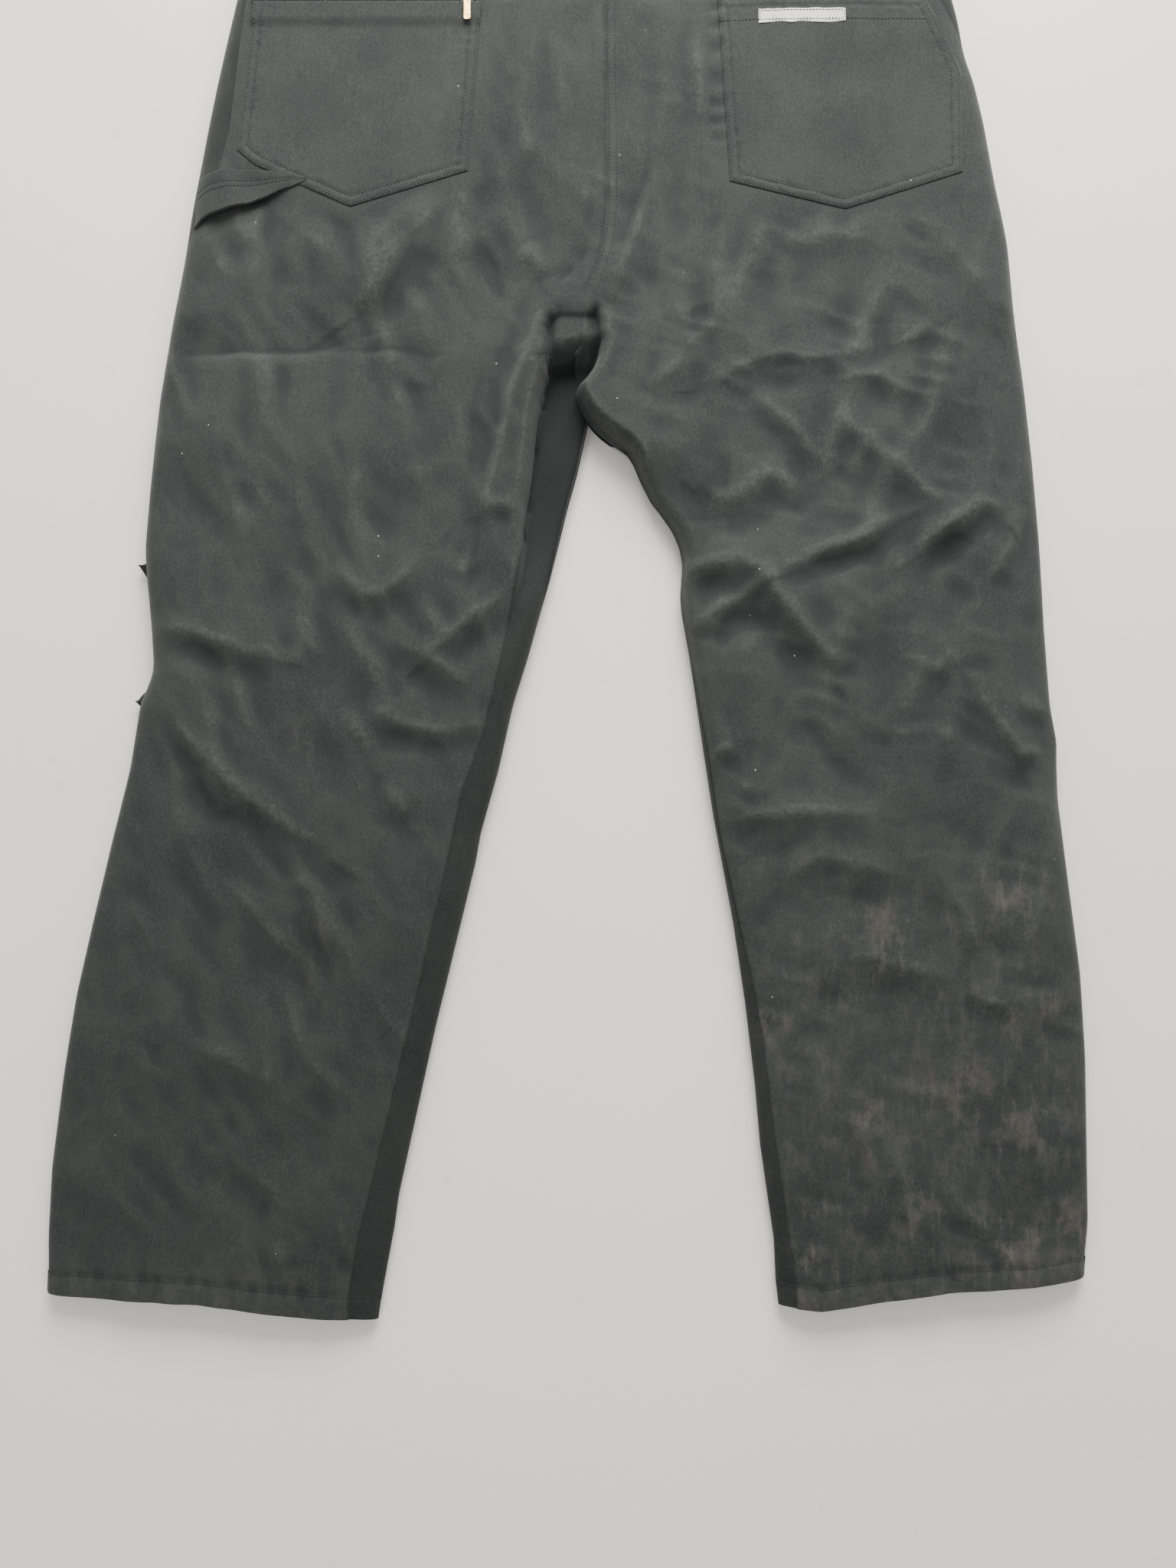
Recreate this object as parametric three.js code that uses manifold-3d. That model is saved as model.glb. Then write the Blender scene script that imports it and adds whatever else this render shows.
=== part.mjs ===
// Insulated work trousers lying flat on their front: twill shell, quilted lining, elastic waist,
// two back pockets (one with a zip), a hammer loop, knee patches and a fly.
// Millimetres. +Z up, +Y from the hems to the waist, +X to the wearer's right.
// The origin is under the middle of the trousers' box, on the floor.
import * as THREE from "three";
import { mergeVertices } from "three/addons/utils/BufferGeometryUtils.js";
import { ParametricGeometry } from "three/addons/geometries/ParametricGeometry.js";
import Module from "manifold-3d";

const wasm = await Module();
wasm.setup();

// ---------- driving dimensions ----------
const INSEAM = 712; // hem to crotch
const RISE = 454; // crotch to the top of the waistband
const HEM_WIDTH = 254; // leg laid flat, at the hem
const SHIN_WIDTH = 286; // leg laid flat, between the hem and the knee
const KNEE_WIDTH = 301; // leg laid flat, at the knee
const THIGH_WIDTH = 368; // leg laid flat, at the crotch
const HIP_WIDTH = 656; // both sides laid flat, halfway up the back pockets
const WAIST_WIDTH = 581; // top of the waistband laid flat, gathered by its elastic
const HIP_HEIGHT = 46; // how high the padded trousers stand off the floor at the seat
const HEM_HEIGHT = 26; // the same at the hems
const SHELL = 1; // twill
const LINING = 4; // quilted lining with its filling
const GAP = 0.3; // between pieces that are sewn or lie against each other
const SPREAD = 0.04; // the left leg lies this share wider, and the right leg as much narrower
const LEFT_LIE = [-294, -282, -246, -207, -192]; // sideways place of the left leg's middle, hem to thigh
const RIGHT_LIE = [271, 266, 250, 229, 218]; // and of the right leg's
const CROTCH_SIDE = 4; // the crotch lies this far to the right
const LEFT_HEM_ANGLE = -3.5; // degrees that each hem lies askew
const RIGHT_HEM_ANGLE = 5;
const BAND_WIDTH = 40; // waistband
const BAND_THICKNESS = 4;
const ELASTIC_WIDTH = 30;
const ELASTIC_THICKNESS = 1.5;
const SEAT_SEAM = 14; // the centre back seam lies this far to the right
const OUTSEAM_ROLL = 18; // how far the front panels roll round onto the back at the left hip
const INSEAM_ROLL = 25; // and at the inside of the left leg
const RIGHT_INSEAM_ROLL = 7; // and at the inside of the right leg
const POCKET_WIDTH = 194;
const POCKET_SIDE = 150; // length of a pocket's straight edge
const POCKET_POINT = 34; // how much longer it is at its pointed middle
const POCKET_DROP = 91; // mouth below the top of the waistband
const POCKET_WALL = 1.2;
const POCKET_ROOM = 5.5; // clear depth inside the open pocket
const LEFT_POCKET_MIDDLE = -187;
const RIGHT_POCKET_MIDDLE = 211;
const ZIP_INSET = 6; // the back pocket's zip is this much shorter than its mouth at each end
const FLY_LENGTH = 190;
const FLY_RECESS = 9; // depth of the fly under the front
const FLY_HALF = 20; // half the width of that recess
const TOOTH_ROW = 2; // width of one row of teeth
const TOOTH_HEIGHT = 1.4;
const SLIDER_POST = 1.2;
const SLIDER_LENGTH = 9;
const SLIDER_WIDTH = 8;
const SLIDER_PLATE = 0.8;
const PULL_WIDTH = 5.5;
const PULL_LENGTH = 22;
const PULL_THICKNESS = 0.9;
const TAPE_WIDTH = 11;
const TAPE_THICKNESS = 0.6;
const LABEL_WIDTH = 72;
const LABEL_HEIGHT = 10;
const LOOP_LENGTH = 74; // hammer loop
const LOOP_WIDTH = 30;
const LOOP_ROOM = 8; // clear height under it
const LOOP_STRAP = 1.6;
const LOOP_ANGLE = 20; // degrees
const KNEE_PATCH_WIDTH = 212;
const KNEE_PATCH_HEIGHT = 130;
const BAG_WIDTH = 150; // front pocket bags, inside
const BAG_LENGTH = 220;
const SNAP_DIAMETER = 13;

// ---------- places worked out from them ----------
const CROTCH = INSEAM;
const WAIST = INSEAM + RISE;
const BAND_SEAM = WAIST - BAND_WIDTH;
const MOUTH = WAIST - POCKET_DROP;
const ZIP_LENGTH = POCKET_WIDTH - 2 * ZIP_INSET;
const KNEE = 0.72 * INSEAM; // the leg is bent a little here
const LINING_DEPTH = SHELL + GAP;
const INSIDE_DEPTH = LINING_DEPTH + LINING;
const FAR = 2 * (WAIST + HIP_WIDTH); // larger than the object, for cutting

// ---------- making solids ----------
const cast = (geometry) => {
  const bare = geometry.clone();
  bare.deleteAttribute("normal");
  bare.deleteAttribute("uv");
  const merged = mergeVertices(bare, 1e-4);
  const kept = [];
  const index = merged.index.array;
  for (let i = 0; i < index.length; i += 3) {
    const [a, b, c] = [index[i], index[i + 1], index[i + 2]];
    if (a !== b && b !== c && a !== c) kept.push(a, b, c);
  }
  return new wasm.Manifold(
    new wasm.Mesh({
      numProp: 3,
      vertProperties: new Float32Array(merged.attributes.position.array),
      triVerts: new Uint32Array(kept),
    }),
  );
};

const geometryOf = (solid) => {
  const made = solid.getMesh();
  return new THREE.BufferGeometry()
    .setAttribute("position", new THREE.BufferAttribute(new Float32Array(made.vertProperties), 3))
    .setIndex(new THREE.BufferAttribute(new Uint32Array(made.triVerts), 1));
};

const box = (x0, x1, y0, y1, z0, z1) =>
  cast(
    new THREE.BoxGeometry(x1 - x0, y1 - y0, z1 - z0).translate((x0 + x1) / 2, (y0 + y1) / 2, (z0 + z1) / 2),
  );

const prism = (points, z0, z1) =>
  cast(
    new THREE.ExtrudeGeometry(new THREE.Shape(points.map(([x, y]) => new THREE.Vector2(x, y))), {
      depth: z1 - z0,
      bevelEnabled: false,
    }).translate(0, 0, z0),
  );

const join = (solids) => solids.reduce((sum, next) => sum.add(next));

// ---------- cloth tubes: flat-bottomed sections with round sides, along smooth lines ----------
const ROUND_STEPS = 5;

// A point of the section, going once round from the left side over the top.
function sectionPoint(u, width, height, target) {
  const radius = height / 2;
  const turn = 2 * ROUND_STEPS + 1;
  const step = Math.round(u * 2 * turn) % (2 * turn);
  const onRight = step > ROUND_STEPS && step <= ROUND_STEPS + turn;
  const local = onRight ? step - ROUND_STEPS - 1 : (step + ROUND_STEPS) % (2 * turn);
  const angle = (onRight ? 90 : 270) - (local / (2 * ROUND_STEPS)) * 180;
  const side = onRight ? 1 : -1;
  const x = side * (width / 2 - radius) + radius * Math.cos(THREE.MathUtils.degToRad(angle));
  return target.set(x, 0, radius + radius * Math.sin(THREE.MathUtils.degToRad(angle)));
}

// stations: [y, middle, width, height]; inset shrinks every section, for the layers inside.
function tube(stations, inset, steps) {
  const line = new THREE.CatmullRomCurve3(stations.map(([y, middle]) => new THREE.Vector3(middle, y, 0)));
  const size = new THREE.CatmullRomCurve3(stations.map(([, , w, h]) => new THREE.Vector3(w, h, 0)));
  const around = 2 * (2 * ROUND_STEPS + 1);
  const rings = steps + 2;
  const surface = (u, v, target) => {
    const ring = Math.round(v * rings);
    const t = THREE.MathUtils.clamp((ring - 1) / steps, 0, 1);
    const at = line.getPoint(t);
    const wide = size.getPoint(t);
    if (ring === 0 || ring === rings) target.set(0, 0, wide.y / 2 - inset);
    else sectionPoint(u, wide.x - 2 * inset, wide.y - 2 * inset, target);
    target.x += at.x;
    target.y += at.y;
    target.z += inset;
  };
  return cast(new ParametricGeometry(surface, around, rings));
}

const LEG_STEPS = 12;
const SEAT_STEPS = 8;
const PAST = 30; // how far the tubes that hollow out the trousers run past their ends
const MEET = 6; // how far the legs reach past the middle where they join

const heightAt = (y) => THREE.MathUtils.mapLinear(y, 0, CROTCH, HEM_HEIGHT, HIP_HEIGHT);

const CALF_AT = 0.2; // where the leg is measured between hem and crotch, as shares of the inseam
const SHIN_AT = 0.48;
const THIGH_AT = 0.87;
const CALF_EASE = 4; // how much wider the leg lies than its seams say, at those places
const SHIN_EASE = 6;
const THIGH_EASE = -6;
const TOP_RUN = 40; // how far a leg runs on into the seat, and how much it narrows there
const TOP_TAPER = 30;

// A leg in plan, from the hem to the crotch: [y, middle, width].
function legPlan(side) {
  const lie = side < 0 ? LEFT_LIE : RIGHT_LIE;
  const scale = 1 - side * SPREAD;
  const thigh = (KNEE_WIDTH + THIGH_WIDTH) / 2 + THIGH_EASE;
  return [
    [0, lie[0], HEM_WIDTH * scale],
    [CALF_AT * INSEAM, lie[1], ((HEM_WIDTH + SHIN_WIDTH) / 2 + CALF_EASE) * scale],
    [SHIN_AT * INSEAM, lie[2], (SHIN_WIDTH + SHIN_EASE) * scale],
    [KNEE, lie[3], KNEE_WIDTH * scale],
    [THIGH_AT * INSEAM, lie[4], thigh * scale],
    [CROTCH, CROTCH_SIDE + side * (THIGH_WIDTH / 2 - MEET), THIGH_WIDTH],
  ];
}

function leg(side, inset) {
  const plan = legPlan(side);
  const start = -PAST - (inset > 0 ? PAST : 0);
  const [, hemMiddle, hemWidth] = plan[0];
  const [, top] = plan.at(-1);
  return tube(
    [
      [start, hemMiddle, hemWidth, heightAt(start)],
      ...plan.slice(1).map(([y, middle, width]) => [y, middle, width, heightAt(y)]),
      [CROTCH + TOP_RUN, top, THIGH_WIDTH - TOP_TAPER, HIP_HEIGHT - 1],
    ],
    inset,
    LEG_STEPS,
  );
}

const SEAT_MIDDLE = 6.5; // the seat lies a little to the right of the line between the legs
const SEAT_BASE = 2 * THIGH_WIDTH - 2 * MEET;
const SEAT_LOW = 0.27; // where the seat is measured between crotch and waist, as shares of the rise
const SEAT_FULL = 0.55;
const SEAT_HIGH = 0.84;
const LOW_EASE = 5; // how much wider it lies there than halfway between its neighbours
const HIGH_EASE = -14;

function seat(inset) {
  const stations = [
    [CROTCH + inset, CROTCH_SIDE, SEAT_BASE, HIP_HEIGHT],
    [CROTCH + SEAT_LOW * RISE, SEAT_MIDDLE, (SEAT_BASE + HIP_WIDTH) / 2 + LOW_EASE, HIP_HEIGHT],
    [CROTCH + SEAT_FULL * RISE, SEAT_MIDDLE, HIP_WIDTH, HIP_HEIGHT],
    [CROTCH + SEAT_HIGH * RISE, SEAT_MIDDLE, (HIP_WIDTH + WAIST_WIDTH) / 2 + HIGH_EASE, HIP_HEIGHT],
    [WAIST, SEAT_MIDDLE, WAIST_WIDTH, HIP_HEIGHT],
  ];
  if (inset > 0) stations.push([WAIST + PAST, SEAT_MIDDLE, WAIST_WIDTH, HIP_HEIGHT]);
  return tube(stations, inset, SEAT_STEPS);
}

const kneePlace = (side) => [(side < 0 ? LEFT_LIE : RIGHT_LIE)[3] + side * 4, KNEE + 28];
const PATCH_SINK = SHELL + GAP; // the knee patches lie in shallow recesses under the front panels

function recesses(grow) {
  const fly = box(
    -FLY_HALF - grow,
    FLY_HALF + grow,
    BAND_SEAM - FLY_LENGTH - PULL_LENGTH - 12 - grow,
    WAIST + 2 * PAST,
    -PAST,
    FLY_RECESS + grow,
  );
  const knees = [-1, 1].map((side) => {
    const [x, y] = kneePlace(side);
    const w = KNEE_PATCH_WIDTH / 2 + GAP + grow;
    const h = KNEE_PATCH_HEIGHT / 2 + GAP + grow;
    return box(x - w, x + w, y - h, y + h, -PAST, PATCH_SINK + grow);
  });
  return join([fly, ...knees]);
}

function body(inset) {
  return join([leg(-1, inset), leg(1, inset), seat(inset)]).subtract(recesses(inset));
}

// Everything under the slanted hems. raise lifts the cut, for the lining, which stops short of the hem.
function underHems(raise) {
  return join(
    [
      [-1, LEFT_LIE[0], LEFT_HEM_ANGLE, 6],
      [1, RIGHT_LIE[0], RIGHT_HEM_ANGLE, 20],
    ].map(([side, x, angle, y]) =>
      cast(
        new THREE.BoxGeometry(1.9 * Math.abs(x), 400, 400)
          .translate(0, -200, 0)
          .rotateZ(THREE.MathUtils.degToRad(angle))
          .translate(x, y + raise, 0),
      ),
    ),
  );
}

const clip = (solid, y0, y1) => solid.intersect(box(-FAR, FAR, y0, y1, -FAR, FAR));

// ---------- the seams, as seen from above ----------
// The upper half of the trousers: its lower face follows the middle of their height.
function upperHalf(grow) {
  const middle = (y) => heightAt(y) / 2 - grow;
  const outline = [
    [-FAR, middle(0)],
    [0, middle(0)],
    [CROTCH, middle(CROTCH)],
    [FAR, middle(CROTCH)],
    [FAR, FAR],
    [-FAR, FAR],
  ];
  const shape = new THREE.Shape(outline.map(([y, z]) => new THREE.Vector2(y, z)));
  const basis = new THREE.Matrix4().makeBasis(
    new THREE.Vector3(0, 1, 0),
    new THREE.Vector3(0, 0, 1),
    new THREE.Vector3(1, 0, 0),
  );
  return cast(
    new THREE.ExtrudeGeometry(shape, { depth: 2 * FAR, bevelEnabled: false })
      .translate(0, 0, -FAR)
      .applyMatrix4(basis),
  );
}

const seatEdge = (side, y) => {
  const share = THREE.MathUtils.clamp((y - CROTCH - 0.55 * RISE) / (0.45 * RISE), 0, 1);
  return SEAT_MIDDLE + (side * THREE.MathUtils.lerp(HIP_WIDTH, WAIST_WIDTH, share)) / 2;
};

const legInside = (side) => legPlan(side).map(([y, middle, width]) => [middle - (side * width) / 2, y]);

const FOLD = CROTCH + 58; // the seat seam ends in a fold this far above the crotch

const seatSeam = [
  [-8, CROTCH + 6],
  [-10, FOLD],
  [-3, FOLD + 40],
  [SEAT_SEAM - 2, FOLD + 90],
  [SEAT_SEAM, FOLD + 140],
  [SEAT_SEAM, WAIST + PAST],
];

const LEFT_ROLL_END = 0.32; // where each outseam goes over the edge, as a share of the rise
const RIGHT_ROLL_END = 0.7;
const ROLL_START = 50; // it leaves its line this far above that place
const ROLL_PAST = 10;

function backCutter(side, grow) {
  const seam = seatSeam.map(([x, y], i) => [x + side * (GAP / 2 - grow), i ? y : y - 2 * grow]);
  const hip = CROTCH + (side < 0 ? LEFT_ROLL_END : RIGHT_ROLL_END) * RISE;
  const roll = side < 0 ? OUTSEAM_ROLL : OUTSEAM_ROLL + 6;
  const outside = [
    [seatEdge(side, WAIST) - side * (roll - grow), WAIST + PAST],
    [seatEdge(side, MOUTH) - side * (roll - grow), MOUTH],
    [seatEdge(side, hip + ROLL_START) - side * (roll - grow), hip + ROLL_START + grow],
    [side * FAR, hip - ROLL_PAST + grow],
    [side * FAR, -FAR],
  ];
  const inRoll = side < 0 ? INSEAM_ROLL : RIGHT_INSEAM_ROLL;
  const inside = legInside(side)
    .slice(0, -1)
    .map(([x, y]) => [x + side * (inRoll - grow), y]);
  inside.unshift([inside[0][0], -FAR]);
  const crotchEnd = side < 0 ? [-41, CROTCH + 19] : [CROTCH_SIDE, CROTCH - 8];
  inside.push([crotchEnd[0] - side * grow, crotchEnd[1] - grow]);
  return prism([...outside, ...inside, ...seam], -FAR, FAR).intersect(upperHalf(grow));
}

// ---------- cloth pieces ----------
const shell = clip(body(0).subtract(body(SHELL)).subtract(underHems(0)), -FAR, BAND_SEAM);
const LINING_SETBACK = 14; // the lining stops this far inside the hems
const padding = clip(
  body(LINING_DEPTH).subtract(body(INSIDE_DEPTH)).subtract(underHems(LINING_SETBACK)),
  -FAR,
  BAND_SEAM - GAP,
);
const band = clip(body(0).subtract(body(BAND_THICKNESS)), BAND_SEAM + GAP, WAIST);
const bothBacks = (grow) => join([backCutter(-1, grow), backCutter(1, grow)]);
const half = (side) => (side < 0 ? box(-FAR, -GAP / 2, -FAR, FAR, -FAR, FAR) : box(GAP / 2, FAR, -FAR, FAR, -FAR, FAR));

const pieces = new Map();
const put = (name, solid, look) => pieces.set(name, { solid, look });

const COLOURS = {
  twill: { color: 0x45494a, roughness: 0.92, metalness: 0 },
  lining: { color: 0x8f1620, roughness: 0.7, metalness: 0 },
  elastic: { color: 0x1c1d1e, roughness: 0.85, metalness: 0 },
  tape: { color: 0x232628, roughness: 0.8, metalness: 0 },
  teeth: { color: 0xb9b6ab, roughness: 0.35, metalness: 1 },
  brass: { color: 0xb98a35, roughness: 0.35, metalness: 1 },
  label: { color: 0xdcdad2, roughness: 0.75, metalness: 0 },
};

const frontShell = shell.subtract(bothBacks(GAP));
const frontBand = band.subtract(bothBacks(GAP));
const backHalf = upperHalf(0);
const backHalfGap = upperHalf(GAP);
const BAG_OUT = 165; // each bag's middle lies this far from the middle of the seat
const BAG_DROP = 10; // and its top this far below the back pockets' mouths
const SLASH_LEAN = 14; // degrees
const bagPlace = (side) => [side * BAG_OUT + SEAT_MIDDLE, MOUTH - BAG_LENGTH / 2 - BAG_DROP];
const bag = (side, grow) => {
  const [x, y] = bagPlace(side);
  const w = BAG_WIDTH / 2 + grow;
  const l = BAG_LENGTH / 2 + grow;
  return box(x - w, x + w, y - l, y + l, LINING_DEPTH - grow, LINING_DEPTH + POCKET_WALL + grow);
};
const slash = (side) => {
  const [x, y] = bagPlace(side);
  return cast(
    new THREE.BoxGeometry(2.5, 0.7 * BAG_LENGTH, 4 * SHELL)
      .rotateZ(THREE.MathUtils.degToRad(-side * SLASH_LEAN))
      .translate(x + side * 0.28 * BAG_WIDTH, y, SHELL / 2),
  );
};

for (const side of [-1, 1]) {
  const hand = side < 0 ? "left" : "right";
  put("back_panel_" + hand, shell.intersect(backCutter(side, 0)), COLOURS.twill);
  put("front_panel_" + hand, frontShell.intersect(half(side)).subtract(slash(side)), COLOURS.twill);
  put("lining_back_" + hand, padding.intersect(backHalf).intersect(half(side)), COLOURS.lining);
  put(
    "lining_front_" + hand,
    padding.subtract(backHalfGap).intersect(half(side)).subtract(bag(side, GAP)),
    COLOURS.lining,
  );
  put("front_pocket_bag_" + hand, bag(side, 0), COLOURS.tape);
  put("waistband_front_" + hand, frontBand.intersect(half(side)), COLOURS.twill);
  const [x, y] = kneePlace(side);
  const w = KNEE_PATCH_WIDTH / 2;
  const h = KNEE_PATCH_HEIGHT / 2;
  put("knee_patch_" + hand, box(x - w, x + w, y - h, y + h, GAP / 2, GAP / 2 + SHELL), COLOURS.twill);
}

// The back waistband is a folded tube of twill; the elastic runs through it and gathers it.
const elastic = (grow, length) =>
  box(
    SEAT_MIDDLE - length / 2,
    SEAT_MIDDLE + length / 2,
    WAIST - BAND_WIDTH / 2 - ELASTIC_WIDTH / 2 - grow,
    WAIST - BAND_WIDTH / 2 + ELASTIC_WIDTH / 2 + grow,
    HIP_HEIGHT - BAND_THICKNESS / 2 - ELASTIC_THICKNESS / 2 - grow,
    HIP_HEIGHT - BAND_THICKNESS / 2 + ELASTIC_THICKNESS / 2 + grow,
  );
const backBand = band.intersect(bothBacks(0).add(box(-SEAT_SEAM, 2 * SEAT_SEAM, MOUTH, WAIST, HIP_HEIGHT / 2, FAR)));
put("waistband_back", backBand.subtract(elastic(GAP, WAIST_WIDTH)), COLOURS.twill);
put("waist_elastic", elastic(0, WAIST_WIDTH - 2 * HIP_HEIGHT), COLOURS.elastic);

// ---------- back pockets ----------
const pocketOutline = (middle, shrink, mouth) => {
  const w = POCKET_WIDTH / 2 - shrink;
  const side = MOUTH - POCKET_SIDE + shrink;
  return [
    [middle - w, mouth],
    [middle - w, side],
    [middle, side - POCKET_POINT],
    [middle + w, side],
    [middle + w, mouth],
  ];
};
const CLOTH_TOP = HIP_HEIGHT + GAP; // what is sewn onto the back starts here
const ZIP_MARGIN = SLIDER_WIDTH / 2 + GAP;

put(
  "back_pocket_left",
  prism(pocketOutline(LEFT_POCKET_MIDDLE, 0, MOUTH - ZIP_MARGIN), CLOTH_TOP, CLOTH_TOP + POCKET_WALL),
  COLOURS.twill,
);
const POCKET_TOP = CLOTH_TOP + POCKET_ROOM + POCKET_WALL;
const pouch = prism(pocketOutline(RIGHT_POCKET_MIDDLE, 0, MOUTH), CLOTH_TOP, POCKET_TOP);
const pouchRoom = prism(
  pocketOutline(RIGHT_POCKET_MIDDLE, 2 * POCKET_WALL, MOUTH + PAST),
  CLOTH_TOP - PAST,
  POCKET_TOP - POCKET_WALL,
);
put("back_pocket_right", pouch.subtract(pouchRoom), COLOURS.twill);

const LABEL_LEFT = RIGHT_POCKET_MIDDLE - POCKET_WIDTH / 2 + 28;
put(
  "label_tape",
  box(
    LABEL_LEFT,
    LABEL_LEFT + LABEL_WIDTH,
    MOUTH - 6 - LABEL_HEIGHT,
    MOUTH - 6,
    POCKET_TOP + GAP,
    POCKET_TOP + GAP + TAPE_THICKNESS,
  ),
  COLOURS.label,
);

// ---------- hammer loop: a strap that stands off the left hip ----------
function hammerLoop() {
  const foot = 9;
  const rise = 12;
  const l = LOOP_LENGTH / 2;
  const top = LOOP_ROOM + LOOP_STRAP;
  const shape = new THREE.Shape();
  shape.moveTo(-l, 0);
  shape.lineTo(-l + foot, 0);
  shape.bezierCurveTo(-l + foot + rise / 2, 0, -l + foot + rise / 2, LOOP_ROOM, -l + foot + rise, LOOP_ROOM);
  shape.lineTo(l - foot - rise, LOOP_ROOM);
  shape.bezierCurveTo(l - foot - rise / 2, LOOP_ROOM, l - foot - rise / 2, 0, l - foot, 0);
  shape.lineTo(l, 0);
  shape.lineTo(l, LOOP_STRAP);
  shape.lineTo(l - foot + LOOP_STRAP, LOOP_STRAP);
  shape.bezierCurveTo(l - foot - 3, LOOP_STRAP, l - foot - 4, top, l - foot - rise, top);
  shape.lineTo(-l + foot + rise, top);
  shape.bezierCurveTo(-l + foot + 4, top, -l + foot + 3, LOOP_STRAP, -l + foot - LOOP_STRAP, LOOP_STRAP);
  shape.lineTo(-l, LOOP_STRAP);
  const standing = new THREE.Matrix4().makeBasis(
    new THREE.Vector3(1, 0, 0),
    new THREE.Vector3(0, 0, 1),
    new THREE.Vector3(0, -1, 0),
  );
  return cast(
    new THREE.ExtrudeGeometry(shape, { depth: LOOP_WIDTH, bevelEnabled: false, curveSegments: 5 })
      .translate(0, 0, -LOOP_WIDTH / 2)
      .applyMatrix4(standing)
      .rotateZ(THREE.MathUtils.degToRad(LOOP_ANGLE))
      .translate(LEFT_POCKET_MIDDLE - POCKET_WIDTH / 2 + 9, MOUTH - POCKET_SIDE - LOOP_WIDTH + 4, CLOTH_TOP),
  );
}
const besidePocket = prism(pocketOutline(LEFT_POCKET_MIDDLE, -GAP, MOUTH), 0, FAR);
put("hammer_loop", hammerLoop().subtract(besidePocket), COLOURS.twill);

// ---------- zips ----------
// Local axes: x runs along the zip to its closed end, z stands off the cloth, the cloth is at z = 0.
const PLATE_GAP = GAP;
const ROW_BASE = GAP + SLIDER_PLATE + PLATE_GAP;
const ROW_TOP = ROW_BASE + TOOTH_HEIGHT;
const TOP_PLATE = ROW_TOP + PLATE_GAP;
const SLIDER_TOP = TOP_PLATE + SLIDER_PLATE;
const BAR_RADIUS = 0.4;
const EYE_INNER = BAR_RADIUS + GAP;
const EYE_OUTER = EYE_INNER + 0.5;
const BAR_HEIGHT = SLIDER_TOP + GAP + EYE_OUTER;
const EYE_LENGTH = 3.4;
const BAR_POST = 0.8;
const ROUND = 16;

const cylinderX = (radius, length, z) =>
  cast(new THREE.CylinderGeometry(radius, radius, length, ROUND).rotateZ(Math.PI / 2).translate(0, 0, z));

function turned(solid, degrees) {
  return cast(geometryOf(solid).rotateZ(THREE.MathUtils.degToRad(degrees)));
}

function sliderSolid(turn) {
  const l = SLIDER_LENGTH / 2;
  const w = SLIDER_WIDTH / 2;
  const postX = EYE_LENGTH / 2 + GAP;
  const barX = postX + BAR_POST;
  const posts = [-1, 1].map((s) =>
    box(
      Math.min(s * postX, s * barX),
      Math.max(s * postX, s * barX),
      -EYE_OUTER,
      EYE_OUTER,
      SLIDER_TOP - BAR_RADIUS,
      BAR_HEIGHT + 2 * BAR_RADIUS,
    ),
  );
  const bridge = join([...posts, cylinderX(BAR_RADIUS, 2 * barX - BAR_POST, BAR_HEIGHT)]);
  return join([
    box(-l, l, -w, w, GAP, GAP + SLIDER_PLATE),
    box(-l, l, -w, w, TOP_PLATE, SLIDER_TOP),
    box(-l / 2, l / 2, -SLIDER_POST / 2, SLIDER_POST / 2, GAP, SLIDER_TOP),
    turned(bridge, turn),
  ]);
}

function pullSolid(turn) {
  const w = PULL_WIDTH / 2;
  const plate = prism(
    [
      [-EYE_LENGTH / 2, 0],
      [-EYE_LENGTH / 2, -3],
      [-w, -6],
      [-w, 1 - PULL_LENGTH],
      [1 - w, -PULL_LENGTH],
      [w - 1, -PULL_LENGTH],
      [w, 1 - PULL_LENGTH],
      [w, -6],
      [EYE_LENGTH / 2, -3],
      [EYE_LENGTH / 2, 0],
    ],
    BAR_HEIGHT - PULL_THICKNESS / 2,
    BAR_HEIGHT + PULL_THICKNESS / 2,
  );
  const eye = cylinderX(EYE_OUTER, EYE_LENGTH, BAR_HEIGHT).add(plate);
  return turned(eye.subtract(cylinderX(EYE_INNER, 2 * EYE_LENGTH, BAR_HEIGHT)), turn);
}

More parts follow.
